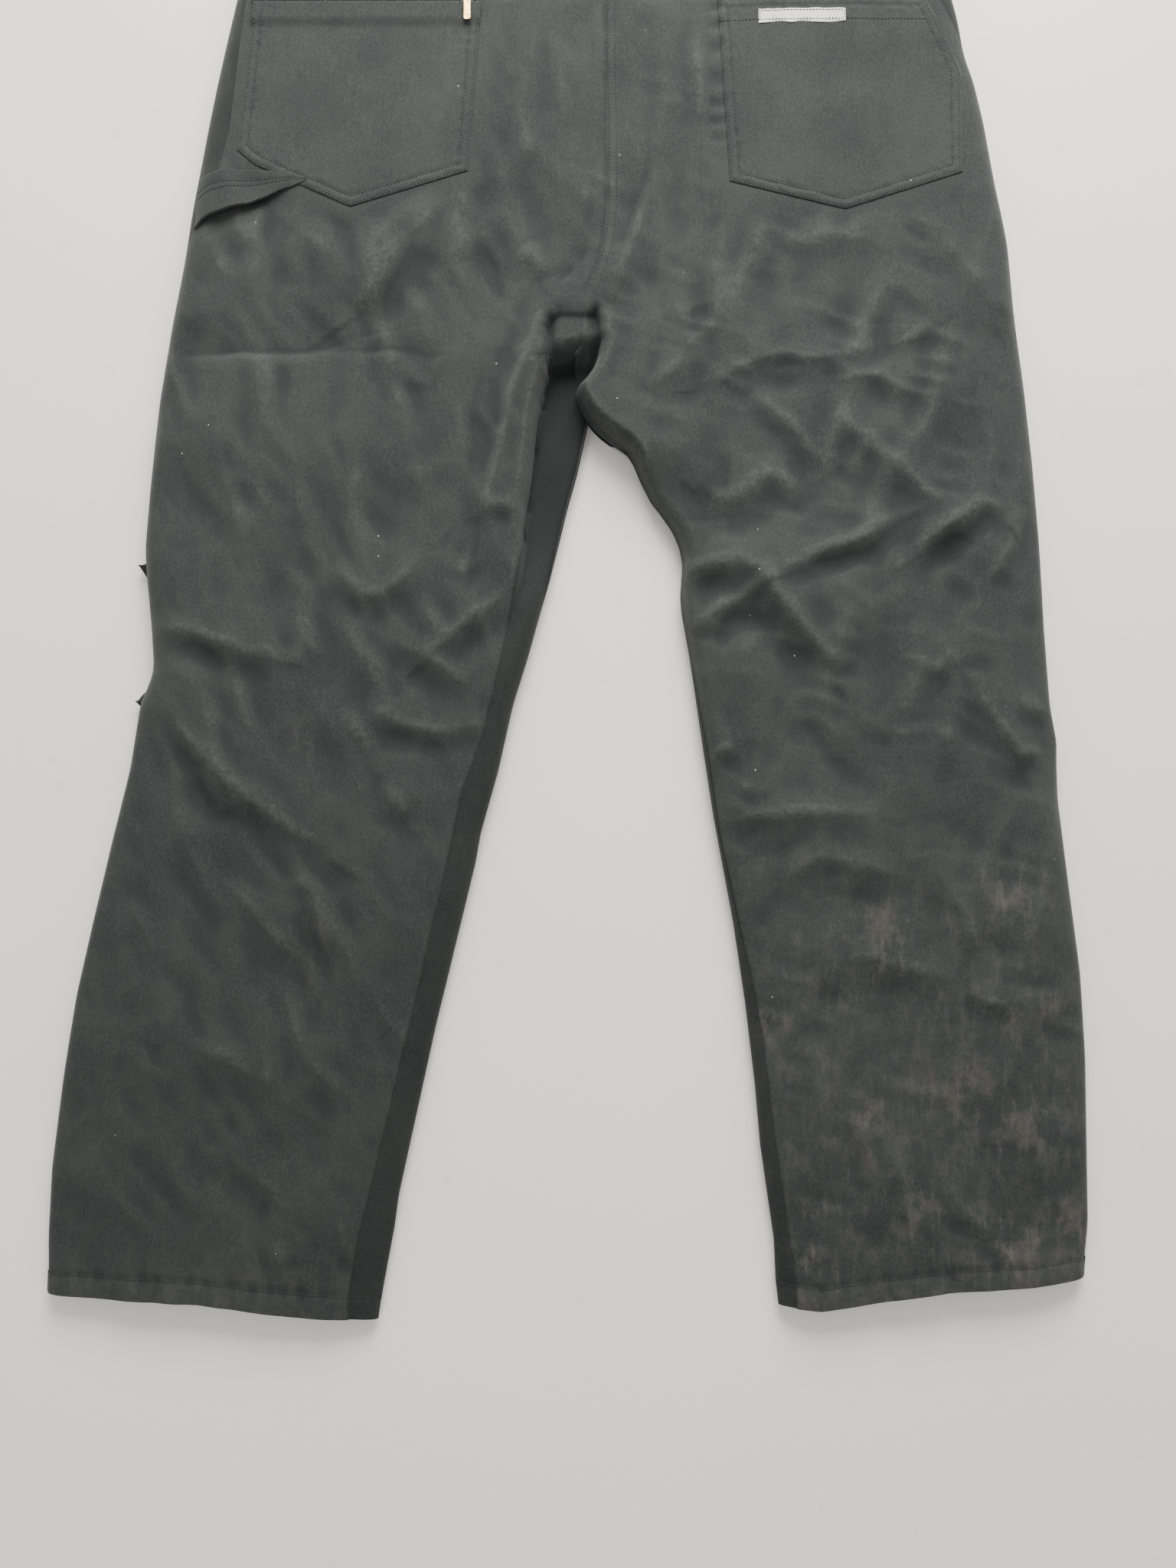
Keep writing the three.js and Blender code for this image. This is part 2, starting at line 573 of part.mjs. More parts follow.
// seats: how high the cloth lies under the +y and the -y tape.
function zip(name, length, seats, turn, place) {
  const inner = SLIDER_POST / 2 + GAP;
  const outer = inner + TOOTH_ROW;
  const tape0 = outer + GAP;
  const middle = (ROW_BASE + ROW_TOP) / 2;
  const margin = SLIDER_WIDTH / 2 + GAP;
  const x0 = -length;
  const set = (piece, solid, look) =>
    put(name + "_" + piece, cast(geometryOf(solid).applyMatrix4(place)), look);
  [1, -1].forEach((side, i) => {
    const which = ["teeth_upper", "teeth_lower"][i];
    const [a, b] = [side * inner, side * outer].sort((p, q) => p - q);
    set(which, box(x0, 0, a, b, ROW_BASE, ROW_TOP), COLOURS.teeth);
    const [c, d] = [side * tape0, side * (tape0 + TAPE_WIDTH)].sort((p, q) => p - q);
    const [e, f] = [side * margin, side * (tape0 + TAPE_WIDTH)].sort((p, q) => p - q);
    const tape = box(x0, 0, c, d, middle - TAPE_THICKNESS / 2, middle + TAPE_THICKNESS / 2).add(
      box(x0, 0, e, f, seats[i] + GAP, middle + TAPE_THICKNESS / 2),
    );
    set(["tape_upper", "tape_lower"][i], tape, COLOURS.tape);
  });
  const stop = (x) => box(x, x + 2, -outer, outer, GAP, ROW_TOP);
  set("end_stop", stop(GAP), COLOURS.teeth);
  set("start_stop", stop(x0 - 2 - GAP), COLOURS.teeth);
  const slid = new THREE.Matrix4().makeTranslation(-SLIDER_LENGTH / 2, 0, 0);
  const moved = (solid) => cast(geometryOf(solid).applyMatrix4(slid));
  set("slider", moved(sliderSolid(turn)), COLOURS.teeth);
  set("pull", moved(pullSolid(turn)), COLOURS.brass);
}

// The back pocket's zip closes its mouth; its pull hangs down over the pocket.
zip(
  "back_zip",
  ZIP_LENGTH,
  [0, POCKET_WALL + GAP],
  0,
  new THREE.Matrix4().makeTranslation(LEFT_POCKET_MIDDLE + ZIP_LENGTH / 2, MOUTH, HIP_HEIGHT),
);

// The fly's zip faces the floor and closes towards the waist; its pull points to the crotch.
const facingDown = new THREE.Matrix4().makeBasis(
  new THREE.Vector3(0, 1, 0),
  new THREE.Vector3(1, 0, 0),
  new THREE.Vector3(0, 0, -1),
);
zip(
  "fly",
  FLY_LENGTH,
  [0, 0],
  -90,
  new THREE.Matrix4().makeTranslation(0, BAND_SEAM - 4, FLY_RECESS).multiply(facingDown),
);

// ---------- waist snap: a strap across the fly's top, snapped at both ends of the band ----------
const TAB_HALF = FLY_HALF - 2;
const TAB_TOP = FLY_RECESS - GAP;
const SNAP_Y = WAIST - BAND_WIDTH / 2;
const SNAP_X = 9;
const snapProfile = (points) =>
  cast(
    new THREE.LatheGeometry(
      points.map(([r, z]) => new THREE.Vector2(r, z)),
      ROUND,
    ).rotateX(Math.PI / 2),
  );
const snapAt = (solid) => cast(geometryOf(solid).translate(SNAP_X, SNAP_Y, 0));
const SNAP_RADIUS = SNAP_DIAMETER / 2;
const POST_RADIUS = 2.2;
const tab = box(-TAB_HALF, TAB_HALF, SNAP_Y - 13, SNAP_Y + 13, TAB_TOP - 2 * SHELL, TAB_TOP);
const snapHole = snapAt(
  cast(new THREE.CylinderGeometry(POST_RADIUS + GAP, POST_RADIUS + GAP, 60, ROUND).rotateX(Math.PI / 2)),
);
put("waist_tab", tab.subtract(snapHole), COLOURS.twill);
const capBase = TAB_TOP - 2 * SHELL - GAP;
put(
  "waist_snap_cap",
  snapAt(
    snapProfile([
      [0, capBase - 2],
      [SNAP_RADIUS - 1, capBase - 1.8],
      [SNAP_RADIUS, capBase - 1],
      [SNAP_RADIUS, capBase],
      [POST_RADIUS, capBase],
      [POST_RADIUS, FLY_RECESS + BAND_THICKNESS],
      [0, FLY_RECESS + BAND_THICKNESS],
    ]),
  ),
  COLOURS.teeth,
);
const studBase = FLY_RECESS + BAND_THICKNESS + GAP;
put(
  "waist_snap_stud",
  snapAt(
    snapProfile([
      [0, studBase],
      [SNAP_RADIUS, studBase],
      [SNAP_RADIUS, studBase + 1.2],
      [0, studBase + 2],
    ]),
  ),
  COLOURS.teeth,
);
const rightBand = pieces.get("waistband_front_right");
rightBand.solid = rightBand.solid.subtract(snapHole);

// ---------- the assembly, moved so that its box stands centred on the origin ----------
const trousers = new THREE.Group();
trousers.name = "bunker_pants";
for (const [name, { solid, look }] of pieces) {
  const mesh = new THREE.Mesh(geometryOf(solid), new THREE.MeshStandardMaterial(look));
  mesh.name = name;
  trousers.add(mesh);
}
const extent = new THREE.Box3().setFromObject(trousers);
trousers.position.set(-(extent.min.x + extent.max.x) / 2, -(extent.min.y + extent.max.y) / 2, -extent.min.z);

export default trousers;
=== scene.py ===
import math

import bmesh
import bpy
import numpy as np
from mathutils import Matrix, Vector


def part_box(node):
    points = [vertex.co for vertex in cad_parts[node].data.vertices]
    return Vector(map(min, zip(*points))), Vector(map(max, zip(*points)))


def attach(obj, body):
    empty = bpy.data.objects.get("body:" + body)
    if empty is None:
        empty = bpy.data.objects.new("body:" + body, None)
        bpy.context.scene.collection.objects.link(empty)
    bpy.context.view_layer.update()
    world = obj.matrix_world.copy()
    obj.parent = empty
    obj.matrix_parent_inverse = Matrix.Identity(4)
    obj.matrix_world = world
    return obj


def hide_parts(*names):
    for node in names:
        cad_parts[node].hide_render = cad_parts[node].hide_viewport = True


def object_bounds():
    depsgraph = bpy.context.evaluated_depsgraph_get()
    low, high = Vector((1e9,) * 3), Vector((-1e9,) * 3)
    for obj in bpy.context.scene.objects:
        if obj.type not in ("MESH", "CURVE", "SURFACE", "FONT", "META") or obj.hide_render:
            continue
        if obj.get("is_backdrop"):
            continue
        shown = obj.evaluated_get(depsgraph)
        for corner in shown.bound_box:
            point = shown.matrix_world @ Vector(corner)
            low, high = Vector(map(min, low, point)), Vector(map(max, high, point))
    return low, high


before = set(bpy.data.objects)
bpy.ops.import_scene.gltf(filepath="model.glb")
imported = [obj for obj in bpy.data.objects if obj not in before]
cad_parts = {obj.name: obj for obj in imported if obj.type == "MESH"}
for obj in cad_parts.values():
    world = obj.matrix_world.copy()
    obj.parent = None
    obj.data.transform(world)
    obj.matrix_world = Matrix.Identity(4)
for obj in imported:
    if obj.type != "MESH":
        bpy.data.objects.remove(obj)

cad_bounds = [list(corner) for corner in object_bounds()]

# ---------------------------------------------------------------------------
# Floor, light and camera: a painted workshop floor, pale grey with faint
# scuffs, one wide soft lamp beyond the waist and one weak lamp over the hems.
# ---------------------------------------------------------------------------
FLOOR_SIZE = 7.0
CAMERA_DISTANCE = 1.10
CAMERA_LEAN = math.radians(5.5)
CAMERA_LENS = 30.68
AIM = Vector((0.01454, -0.1621, 0.0))


def material(name):
    made = bpy.data.materials.new(name)
    made.use_nodes = True
    made.node_tree.nodes.clear()
    out = made.node_tree.nodes.new("ShaderNodeOutputMaterial")
    shader = made.node_tree.nodes.new("ShaderNodeBsdfPrincipled")
    made.node_tree.links.new(shader.outputs[0], out.inputs[0])
    return made, shader


def node(owner, kind, inputs=(), **settings):
    """A node with its settings and its inputs: a value, or the socket that feeds it."""
    tree = owner.node_tree if hasattr(owner, "node_tree") else owner
    made = tree.nodes.new(kind)
    for key, value in settings.items():
        setattr(made, key, value)
    for key, value in dict(inputs).items():
        if isinstance(value, bpy.types.NodeSocket):
            tree.links.new(value, made.inputs[key])
        else:
            made.inputs[key].default_value = value
    return made


def noise(owner, where, scale, detail=3.0, rough=0.55):
    return node(owner, "ShaderNodeTexNoise", {"Vector": where, "Scale": scale, "Detail": detail,
                                              "Roughness": rough}).outputs["Fac"]


def ramp(owner, value, low, high, to_low=0.0, to_high=1.0):
    return node(owner, "ShaderNodeMapRange", {0: value, 1: low, 2: high, 3: to_low, 4: to_high}).outputs[0]


def times(owner, a, b):
    return node(owner, "ShaderNodeMath", {0: a, 1: b}, operation="MULTIPLY").outputs[0]


def added(owner, a, b):
    return node(owner, "ShaderNodeMath", {0: a, 1: b}, operation="ADD").outputs[0]


def mixed(owner, share, a, b, how="MIX"):
    made = node(owner, "ShaderNodeMix", {0: share, 6: a, 7: b}, data_type="RGBA", blend_type=how)
    return made.outputs[2]


def placed(owner, scale, turn=0.0):
    where = node(owner, "ShaderNodeTexCoord").outputs["Object"]
    return node(owner, "ShaderNodeMapping", {"Vector": where, "Scale": scale,
                                             "Rotation": (0, 0, turn)}).outputs[0]


def bumped(owner, shader, height, strength, distance):
    made = node(owner, "ShaderNodeBump", {"Height": height, "Strength": strength, "Distance": distance})
    owner.node_tree.links.new(made.outputs[0], shader.inputs["Normal"])


paint, shader = material("floor_paint")
where = placed(paint, (1, 1, 1))
cloud = noise(paint, where, 2.2, 5)
scuff = ramp(paint, noise(paint, where, 34, 6, 0.7), 0.62, 0.74)
colour = mixed(paint, cloud, (0.89, 0.85, 0.77, 1), (0.94, 0.90, 0.82, 1))
colour = mixed(paint, times(paint, scuff, 0.35), colour, (0.60, 0.575, 0.52, 1))
paint.node_tree.links.new(colour, shader.inputs["Base Color"])
paint.node_tree.links.new(ramp(paint, cloud, 0.3, 0.7, 0.42, 0.6), shader.inputs["Roughness"])
bumped(paint, shader, noise(paint, where, 120, 4), 0.12, 0.001)

floor_mesh = bpy.data.meshes.new("floor")
half = FLOOR_SIZE / 2
floor_corners = [(-half, -half, 0), (half, -half, 0), (half, half, 0), (-half, half, 0)]
floor_mesh.from_pydata(floor_corners, [], [(0, 1, 2, 3)])
floor_mesh.materials.append(paint)
floor = bpy.data.objects.new("floor", floor_mesh)
bpy.context.scene.collection.objects.link(floor)
floor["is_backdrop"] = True

for name, spot, size, power in (("lamp_beyond_waist", (0.25, 1.65, 1.35), 1.3, 92),
                                ("lamp_over_hems", (-0.9, -1.1, 2.2), 2.2, 8)):
    lamp = bpy.data.lights.new(name, "AREA")
    lamp.size = size
    lamp.energy = power
    holder = bpy.data.objects.new(name, lamp)
    holder.location = spot
    holder.rotation_euler = (Vector((0, -0.05, 0)) - Vector(spot)).to_track_quat("-Z", "Y").to_euler()
    bpy.context.scene.collection.objects.link(holder)

world = bpy.data.worlds.new("soft_room")
world.use_nodes = True
world.node_tree.nodes["Background"].inputs["Color"].default_value = (0.97, 0.98, 1.0, 1)
world.node_tree.nodes["Background"].inputs["Strength"].default_value = 0.74
bpy.context.scene.world = world

lens = bpy.data.cameras.new("camera")
lens.sensor_fit = "VERTICAL"
lens.sensor_height = 36
lens.lens = CAMERA_LENS
camera = bpy.data.objects.new("camera", lens)
camera.location = AIM + CAMERA_DISTANCE * Vector((0, -math.sin(CAMERA_LEAN), math.cos(CAMERA_LEAN)))
camera.rotation_euler = (CAMERA_LEAN, 0, 0)
bpy.context.scene.collection.objects.link(camera)
bpy.context.scene.camera = camera

# ---------------------------------------------------------------------------
# Left and right back panels: heavy charcoal twill, each cut in one piece from
# waist to hem and joined to each other by the centre back seam. They lie on
# the quilted lining, so they stand up in the middle and roll down at the sides.
# Their shape is worked out in millimetres from the hems (y) and the fly (x).
# ---------------------------------------------------------------------------
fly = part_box("fly_slider")
ACROSS = 500 * (fly[0].x + fly[1].x)
BAND_SEAM, BAND_TOP = 1126, 1166
UP = 1000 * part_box("waistband_back")[1].y - BAND_TOP
TOP = 46.0
CLOTH_STEP = 2.7
FAR = 400.0
EDGE_CURL, HIP_CURL = 13, 10

LEFT_SIDE = [(-288, 1138), (-289, 1126), (-298, 1092), (-315, 1004), (-322, 962), (-331, 902),
             (-337, 858), (-348, 802), (-357, 741), (-363, 667), (-366, 614), (-364, 590), (-359, 548),
             (-356, 512), (-362, 494), (-366, 487), (-373, 432), (-387, 368), (-400, 305), (-411, 249),
             (-419, 187), (-426, 113), (-427, 59), (-426, 35), (-426, 14)]
RIGHT_SIDE = [(301, 1138), (302, 1126), (309, 1092), (315, 1065), (319, 1035), (327, 1010), (334, 975),
              (342, 920), (351, 871), (356, 816), (364, 748), (369, 687), (373, 620), (375, 548),
              (378, 483), (383, 452), (382, 440), (382, 406), (389, 336), (396, 267), (398, 199),
              (397, 138), (396, 71), (391, 31)]
LEFT_INSIDE = [(8, 745), (1, 728), (-9, 680), (-17, 651), (-32, 587), (-49, 524), (-61, 485), (-73, 430),
               (-87, 379), (-91, 355), (-122, 224), (-150, 92), (-153, 68), (-163, 12), (-165, -3)]
RIGHT_INSIDE = [(6, 806), (9, 798), (10, 784), (7, 772), (3, 764), (-3, 756), (-10, 748), (-9, 740),
                (-5, 731), (0, 723), (8, 714), (20, 704), (33, 695), (38, 686), (44, 670), (52, 653),
                (60, 643), (70, 628), (76, 613), (78, 600), (76, 574), (77, 560), (83, 526), (94, 447),
                (102, 392), (117, 308), (126, 244), (133, 181), (137, 131), (142, 94), (147, 58),
                (148, 28), (150, 8)]
LEFT_ROLL = [(-33, 760), (-34, 749), (-39, 735), (-41, 725), (-43, 710), (-45, 693), (-48, 667), (-51, 648),
             (-53, 629), (-53, 619), (-55, 603), (-59, 582), (-66, 537), (-75, 497), (-84, 458), (-101, 411),
             (-112, 355), (-144, 213), (-171, 95), (-180, 58), (-187, 14)]
SEAT_SEAM = [(14, 1126), (14, 1084), (14, 1024), (15, 964), (15, 924), (15, 894), (11, 860), (5, 838),
             (-2, 822), (-4, 807), (-4, 790), (-5, 781), (-11, 771)]
LEFT_BACK_IN = SEAT_SEAM + [(-31, 766)] + LEFT_ROLL[1:]
RIGHT_INSEAM = [(82, 532), (98, 436), (106, 378), (121, 305), (133, 248), (139, 213), (147, 133), (153, 95),
                (157, 63), (161, 42), (163, 10)]
RIGHT_BACK_IN = SEAT_SEAM + [(-11, 762), (-11, 752)] + RIGHT_INSIDE[7:-11] + RIGHT_INSEAM
LEFT_OUTSEAM = [(-281, 1126), (-285, 1096), (-297, 960), (-309, 908), (-337, 858)] + LEFT_SIDE[6:]
RIGHT_OUTSEAM = [(281, 1126), (284, 1093), (318, 1031)] + RIGHT_SIDE[4:]
LEFT_HEM = [(-426, 18), (-303, 12), (-245, 4), (-219, 1), (-165, -3)]
RIGHT_HEM = [(150, 8), (182, 6), (224, 13), (280, 21), (348, 25), (391, 30)]
GAP_RIM = [(-53, 560), (-53, 619), (-51, 648), (-48, 667), (-45, 693), (-39, 735), (-33, 758), (-32, 777),
           (-33, 792), (-30, 799), (-23, 803), (-13, 802), (-5, 802), (2, 804)] + RIGHT_INSIDE[:22]


def smoothed(points, soft):
    """The line as a function from y to x, with its corners rounded over soft mm."""
    y, x = np.array(sorted((b, a) for a, b in points), float).T
    marks = np.arange(y[0] - 20, y[-1] + 20, 0.5)
    reach = int(6 * soft)
    weights = np.exp(-0.5 * (np.arange(-reach, reach + 1) / (2 * soft)) ** 2)
    values = np.convolve(np.pad(np.interp(marks, y, x), reach, "edge"), weights / weights.sum(), "valid")
    return lambda at: np.interp(at, marks, values)


left_side, right_side = smoothed(LEFT_SIDE, 5), smoothed(RIGHT_SIDE, 5)
left_inside, right_inside = smoothed(LEFT_INSIDE, 4), smoothed(RIGHT_INSIDE, 1.5)
left_back_in, right_back_in = smoothed(LEFT_BACK_IN, 1.5), smoothed(RIGHT_BACK_IN, 1.5)
left_outseam, right_outseam = smoothed(LEFT_OUTSEAM, 4), smoothed(RIGHT_OUTSEAM, 4)


def ease(low, high, value):
    t = np.clip((value - low) / (high - low), 0, 1)
    return t * t * (3 - 2 * t)


def swell(t):
    return 1 - (1 - np.clip(t, 0, 1)) ** 2


def bump(distance, width):
    return np.exp(-(distance / width) ** 2)


def rolled(t):
    return np.sqrt(swell(t - 0.012))


def unevenness(x, y, size, seed, stretch=1.0):
    """Smooth random bumps of about that size in mm, from -1 to 1."""
    cells = np.random.RandomState(seed).uniform(-1, 1, (64, 64))
    u, v = x / size + 40.3, y / (size * stretch) + 20.7
    i, j = np.floor(u).astype(int), np.floor(v).astype(int)
    s, t = u - i, v - j
    s, t = s * s * (3 - 2 * s), t * t * (3 - 2 * t)
    corner = lambda a, b: cells[(i + a) % 64, (j + b) % 64]
    near = corner(0, 0) * (1 - s) + corner(1, 0) * s
    far = corner(0, 1) * (1 - s) + corner(1, 1) * s
    return near * (1 - t) + far * t


def creased(x, y, size, seed, stretch, turn):
    """Random small crests with hollows between, drawn out along the turn (radians), from about -1 to 1."""
    u, w = x * math.cos(turn) + y * math.sin(turn), y * math.cos(turn) - x * math.sin(turn)
    u, w = u + 9 * unevenness(x, y, 50, seed + 1), w + 9 * unevenness(x, y, 50, seed + 2)
    bent = unevenness(u, w, size, seed, stretch)
    return 1 - 3.2 * (np.sqrt(bent ** 2 + 0.01) - 0.1)


def to_line(x, y, points):
    """Distance to an open line, the side of it (1 on the left going along) and the share gone along it."""
    p = np.array(points, float)
    steps = np.diff(p, axis=0)
    lengths = np.hypot(steps[:, 0], steps[:, 1])
    gone = np.concatenate([[0], np.cumsum(lengths)])
    best, side, share = np.full(x.shape, 1e6), np.ones(x.shape), np.zeros(x.shape)
    for a, d, length, before in zip(p[:-1], steps, lengths, gone):
        t = np.clip(((x - a[0]) * d[0] + (y - a[1]) * d[1]) / length ** 2, 0, 1)
        dx, dy = x - a[0] - t * d[0], y - a[1] - t * d[1]
        r = np.hypot(dx, dy)
        near = r < best
        best = np.where(near, r, best)
        side = np.where(near, np.where(d[0] * dy - d[1] * dx >= 0, 1.0, -1.0), side)
        share = np.where(near, (before + t * length) / gone[-1], share)
    return best, side, share


def inside(x, y, points):
    """True where a point lies in the closed outline."""
    found = np.zeros(x.shape, bool)
    for (ax, ay), (bx, by) in zip(points, points[1:] + points[:1]):
        if ay != by:
            crosses = (ay > y) != (by > y)
            found ^= crosses & (x < (bx - ax) * (y - ay) / (by - ay) + ax)
    return found


def rounded(points, rounds=2):
    """Chaikin's corner cutting, ends kept."""
    for _ in range(rounds):
        cut = [points[0]]
        for (ax, ay), (bx, by) in zip(points, points[1:]):
            for k in (0.25, 0.75):
                cut.append(((1 - k) * ax + k * bx, (1 - k) * ay + k * by))
        points = cut + [points[-1]]
    return points


def sampled(line, low, high, step=7):
    y = np.arange(low, high + step, step)
    return list(zip(line(y), y))


LEFT_SIDE_LINE = sampled(left_side, -20, BAND_TOP)
RIGHT_SIDE_LINE = sampled(right_side, -20, BAND_TOP)
LEFT_INSIDE_LINE = sampled(left_inside, -20, 745)
RIGHT_INSIDE_LINE = sampled(right_inside, -20, 700)

# Folds: how high the crest stands (mm), how wide its left and right flanks are
# going along the line, and the line of its foot. A negative height is a furrow.
LEFT_FOLDS = [
    (6.5, 26, 8, [(-192, 802), (-172, 817), (-152, 856), (-143, 868)]),
    (-4.5, 30, 4, [(-333, 777), (-295, 773), (-262, 771), (-225, 772), (-192, 780)]),
    (-1.6, 7, 3, [(-228, 771), (-170, 770), (-112, 769)]),
    (2.2, 7, 4, [(-270, 856), (-272, 892)]),
    (1.6, 8, 5, [(-257, 726), (-261, 768)]),
    (4.5, 18, 9, [(-212, 592), (-197, 580), (-170, 560), (-140, 589), (-127, 604)]),
    (5.0, 15, 7, [(-358, 541), (-338, 536), (-300, 525), (-248, 511)]),
    (5.0, 12, 8, [(-130, 516), (-110, 531), (-79, 551), (-62, 573)]),
    (2.4, 6, 4, [(-99, 580), (-94, 599)]),
    (2.0, 8, 5, [(-212, 516), (-225, 556)]),
    (2.0, 8, 5, [(-156, 757), (-150, 750), (-136, 734)]),
    (6.0, 22, 10, [(-352, 490), (-330, 455), (-308, 425), (-261, 389), (-210, 358)]),
    (3.2, 14, 7, [(-176, 492), (-170, 466), (-127, 457), (-80, 457)]),
    (3.8, 12, 8, [(-160, 531), (-130, 512), (-92, 491)]),
    (3.2, 9, 9, [(-203, 473), (-185, 452), (-172, 436)]),
    (3.0, 9, 8, [(-166, 418), (-156, 402), (-145, 387)]),
    (2.6, 9, 8, [(-312, 427), (-298, 387)]),
    (7.0, 17, 7, [(-26, 822), (-40, 802), (-55, 773), (-64, 743), (-72, 715), (-78, 694), (-83, 674),
                  (-87, 641), (-89, 618)]),
    (3.0, 8, 6, [(-84, 634), (-72, 640), (-60, 634), (-57, 622)]),
    (-3.0, 16, 14, [(-70, 800), (-86, 760), (-97, 700), (-103, 640)]),
    (3.0, 16, 10, [(-300, 340), (-262, 300), (-226, 262)]),
    (3.4, 22, 16, [(-330, 205), (-285, 190), (-248, 170)]),
    (-3.0, 24, 22, [(-345, 290), (-318, 250), (-300, 200)]),
    (2.6, 16, 10, [(-225, 330), (-200, 290), (-186, 240)]),
    (2.2, 14, 8, [(-300, 130), (-262, 105), (-236, 70)]),
    (2.0, 12, 8, [(-208, 190), (-196, 150), (-205, 100)]),
    (1.8, 9, 7, [(-245, 60), (-236, 36)]),
    (1.8, 9, 7, [(-196, 80), (-200, 40)]),
    (2.2, 14, 9, [(-322, 700), (-300, 660), (-285, 610)]),
    (2.0, 14, 9, [(-150, 690), (-140, 650), (-142, 610)]),
    (3.0, 9, 8, [(-56, 860), (-38, 828)]),
    (-3.0, 12, 9, [(-92, 868), (-78, 832), (-64, 806)]),
    (2.2, 10, 8, [(-120, 905), (-112, 850)]),
    (1.6, 9, 7, [(-58, 1060), (-62, 985), (-54, 930)]),
    (1.4, 8, 6, [(-30, 1040), (-26, 960)]),
    (1.8, 8, 7, [(-10, 850), (2, 886), (4, 930)]),
]
RIGHT_FOLDS = [
    (3.8, 11, 10, [(57, 730), (71, 749), (83, 770)]),
    (4.0, 15, 7, [(101, 846), (98, 814), (92, 786), (76, 791)]),
    (4.0, 13, 8, [(90, 740), (130, 752), (164, 763), (175, 756), (206, 762), (242, 771)]),
    (3.4, 9, 7, [(252, 762), (266, 776), (282, 790)]),
    (4.0, 10, 7, [(203, 740), (234, 747), (268, 731)]),
    (6.0, 17, 12, [(186, 711), (214, 690), (241, 666), (289, 630)]),
    (4.4, 13, 10, [(125, 734), (145, 717), (163, 701), (192, 664)]),
    (4.6, 12, 9, [(90, 654), (106, 638), (126, 643), (146, 663), (162, 654), (178, 661)]),
    (7.0, 13, 7, [(156, 582), (200, 603), (250, 627)]),
    (7.0, 11, 7, [(265, 600), (301, 626), (322, 640), (333, 630)]),
    (8.5, 15, 11, [(96, 592), (118, 594), (134, 580), (145, 564), (158, 546), (177, 524), (198, 500)]),
    (6.5, 9, 8, [(73, 584), (101, 589), (124, 589)]),
    (6.5, 11, 8, [(81, 536), (113, 556), (144, 573)]),
    (3.6, 10, 8, [(322, 566), (345, 601), (361, 644)]),
    (3.0, 7, 6, [(340, 481), (372, 472)]),
    (2.6, 7, 6, [(338, 437), (369, 438)]),
    (3.0, 9, 7, [(277, 494), (297, 521)]),
    (4.2, 11, 9, [(296, 504), (321, 466), (346, 428)]),
    (3.6, 8, 6, [(93, 433), (118, 445)]),
    (4.4, 13, 9, [(104, 382), (166, 384), (234, 387)]),
    (4.6, 9, 13, [(376, 442), (362, 384), (349, 331), (334, 281), (322, 240)]),
    (-3.0, 26, 22, [(176, 470), (205, 420), (240, 400)]),
    (3.2, 18, 14, [(150, 330), (200, 350), (252, 332)]),
    (2.8, 16, 10, [(262, 350), (290, 320), (300, 280)]),
    (3.4, 20, 14, [(185, 262), (235, 270), (290, 250)]),
    (3.0, 12, 8, [(196, 172), (216, 130), (228, 92)]),
    (2.6, 10, 7, [(228, 148), (246, 100), (254, 60)]),
    (2.4, 10, 7, [(276, 112), (300, 70), (318, 50)]),
    (3.0, 16, 10, [(300, 232), (338, 236), (372, 222)]),
    (2.2, 12, 8, [(160, 215), (176, 182), (180, 140)]),
    (2.0, 12, 8, [(340, 160), (352, 110), (350, 66)]),
    (2.6, 16, 10, [(262, 560), (250, 520), (246, 470)]),
    (2.4, 14, 10, [(316, 740), (322, 690), (314, 650)]),
    (2.8, 12, 8, [(20, 806), (34, 828), (42, 862)]),
    (-3.0, 12, 9, [(22, 856), (34, 880), (52, 930)]),
    (2.0, 12, 8, [(62, 830), (66, 880), (60, 930)]),
    (1.6, 9, 7, [(52, 1040), (58, 980), (50, 930)]),
    (1.8, 8, 6, [(88, 1050), (84, 1000), (92, 960)]),
    (2.4, 14, 10, [(150, 850), (200, 866), (256, 850)]),
    (2.0, 12, 9, [(262, 880), (300, 850), (330, 800)]),
]


def folded(x, y, folds):
    total = np.zeros(x.shape)
    for rise, left, right, points in folds:
        reach = 4.5 * max(left, right)
        line = np.array(points)
        near = ((x > line[:, 0].min() - reach) & (x < line[:, 0].max() + reach)
                & (y > line[:, 1].min() - reach) & (y < line[:, 1].max() + reach))
        if not near.any():
            continue
        px, py = x[near], y[near]
        bent = [at + 3.5 * unevenness(px, py, 38, 61 + k) + 0.8 * unevenness(px, py, 12, 63 + k)
                for k, at in enumerate((px, py))]
        far, side, share = to_line(*bent, rounded(points))
        off = far * side - (0.8 * right if rise > 0 else 0)
        width = np.where(off > 0, 1.35 * left, 0.85 * right)
        crest = np.exp(-(np.sqrt(off ** 2 + 6) - 2.5) / width)
        if rise > 0:
            crest = crest - 0.30 * np.exp(-((off + 2.4 * right) / (1.3 * right)) ** 2)
        total[near] += 1.35 * rise * crest * np.sin(np.pi * (0.04 + 0.92 * share)) ** 0.9
    return total


def pocket_outline(side):
    """Corners of a back pocket, from the mouth's outer end down to the point and up again."""
    low, high = (1000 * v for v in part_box("back_pocket_left" if side < 0 else "back_pocket_right"))
    x0, x1, y0 = low.x - ACROSS, high.x - ACROSS, low.y - UP
    y1 = 1000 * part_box("back_zip_slider")[0].y + 4 - UP
    if side < 0:
        return [(x0 + 5, y1), (x0 - 6, y0 + 51), (x0 + 9, y0 + 38),
                (x0 + 88, y0 + 2), (x1 - 9, y0 + 33), (x1 + 1, y1)]
    return [(x1 - 27, y1), (x1 + 2, y1 - 62), (x1 + 1, y0 + 32),
            (x0 + 98, y0), (x0 + 3, y0 + 24), (x0 - 6, y1)]


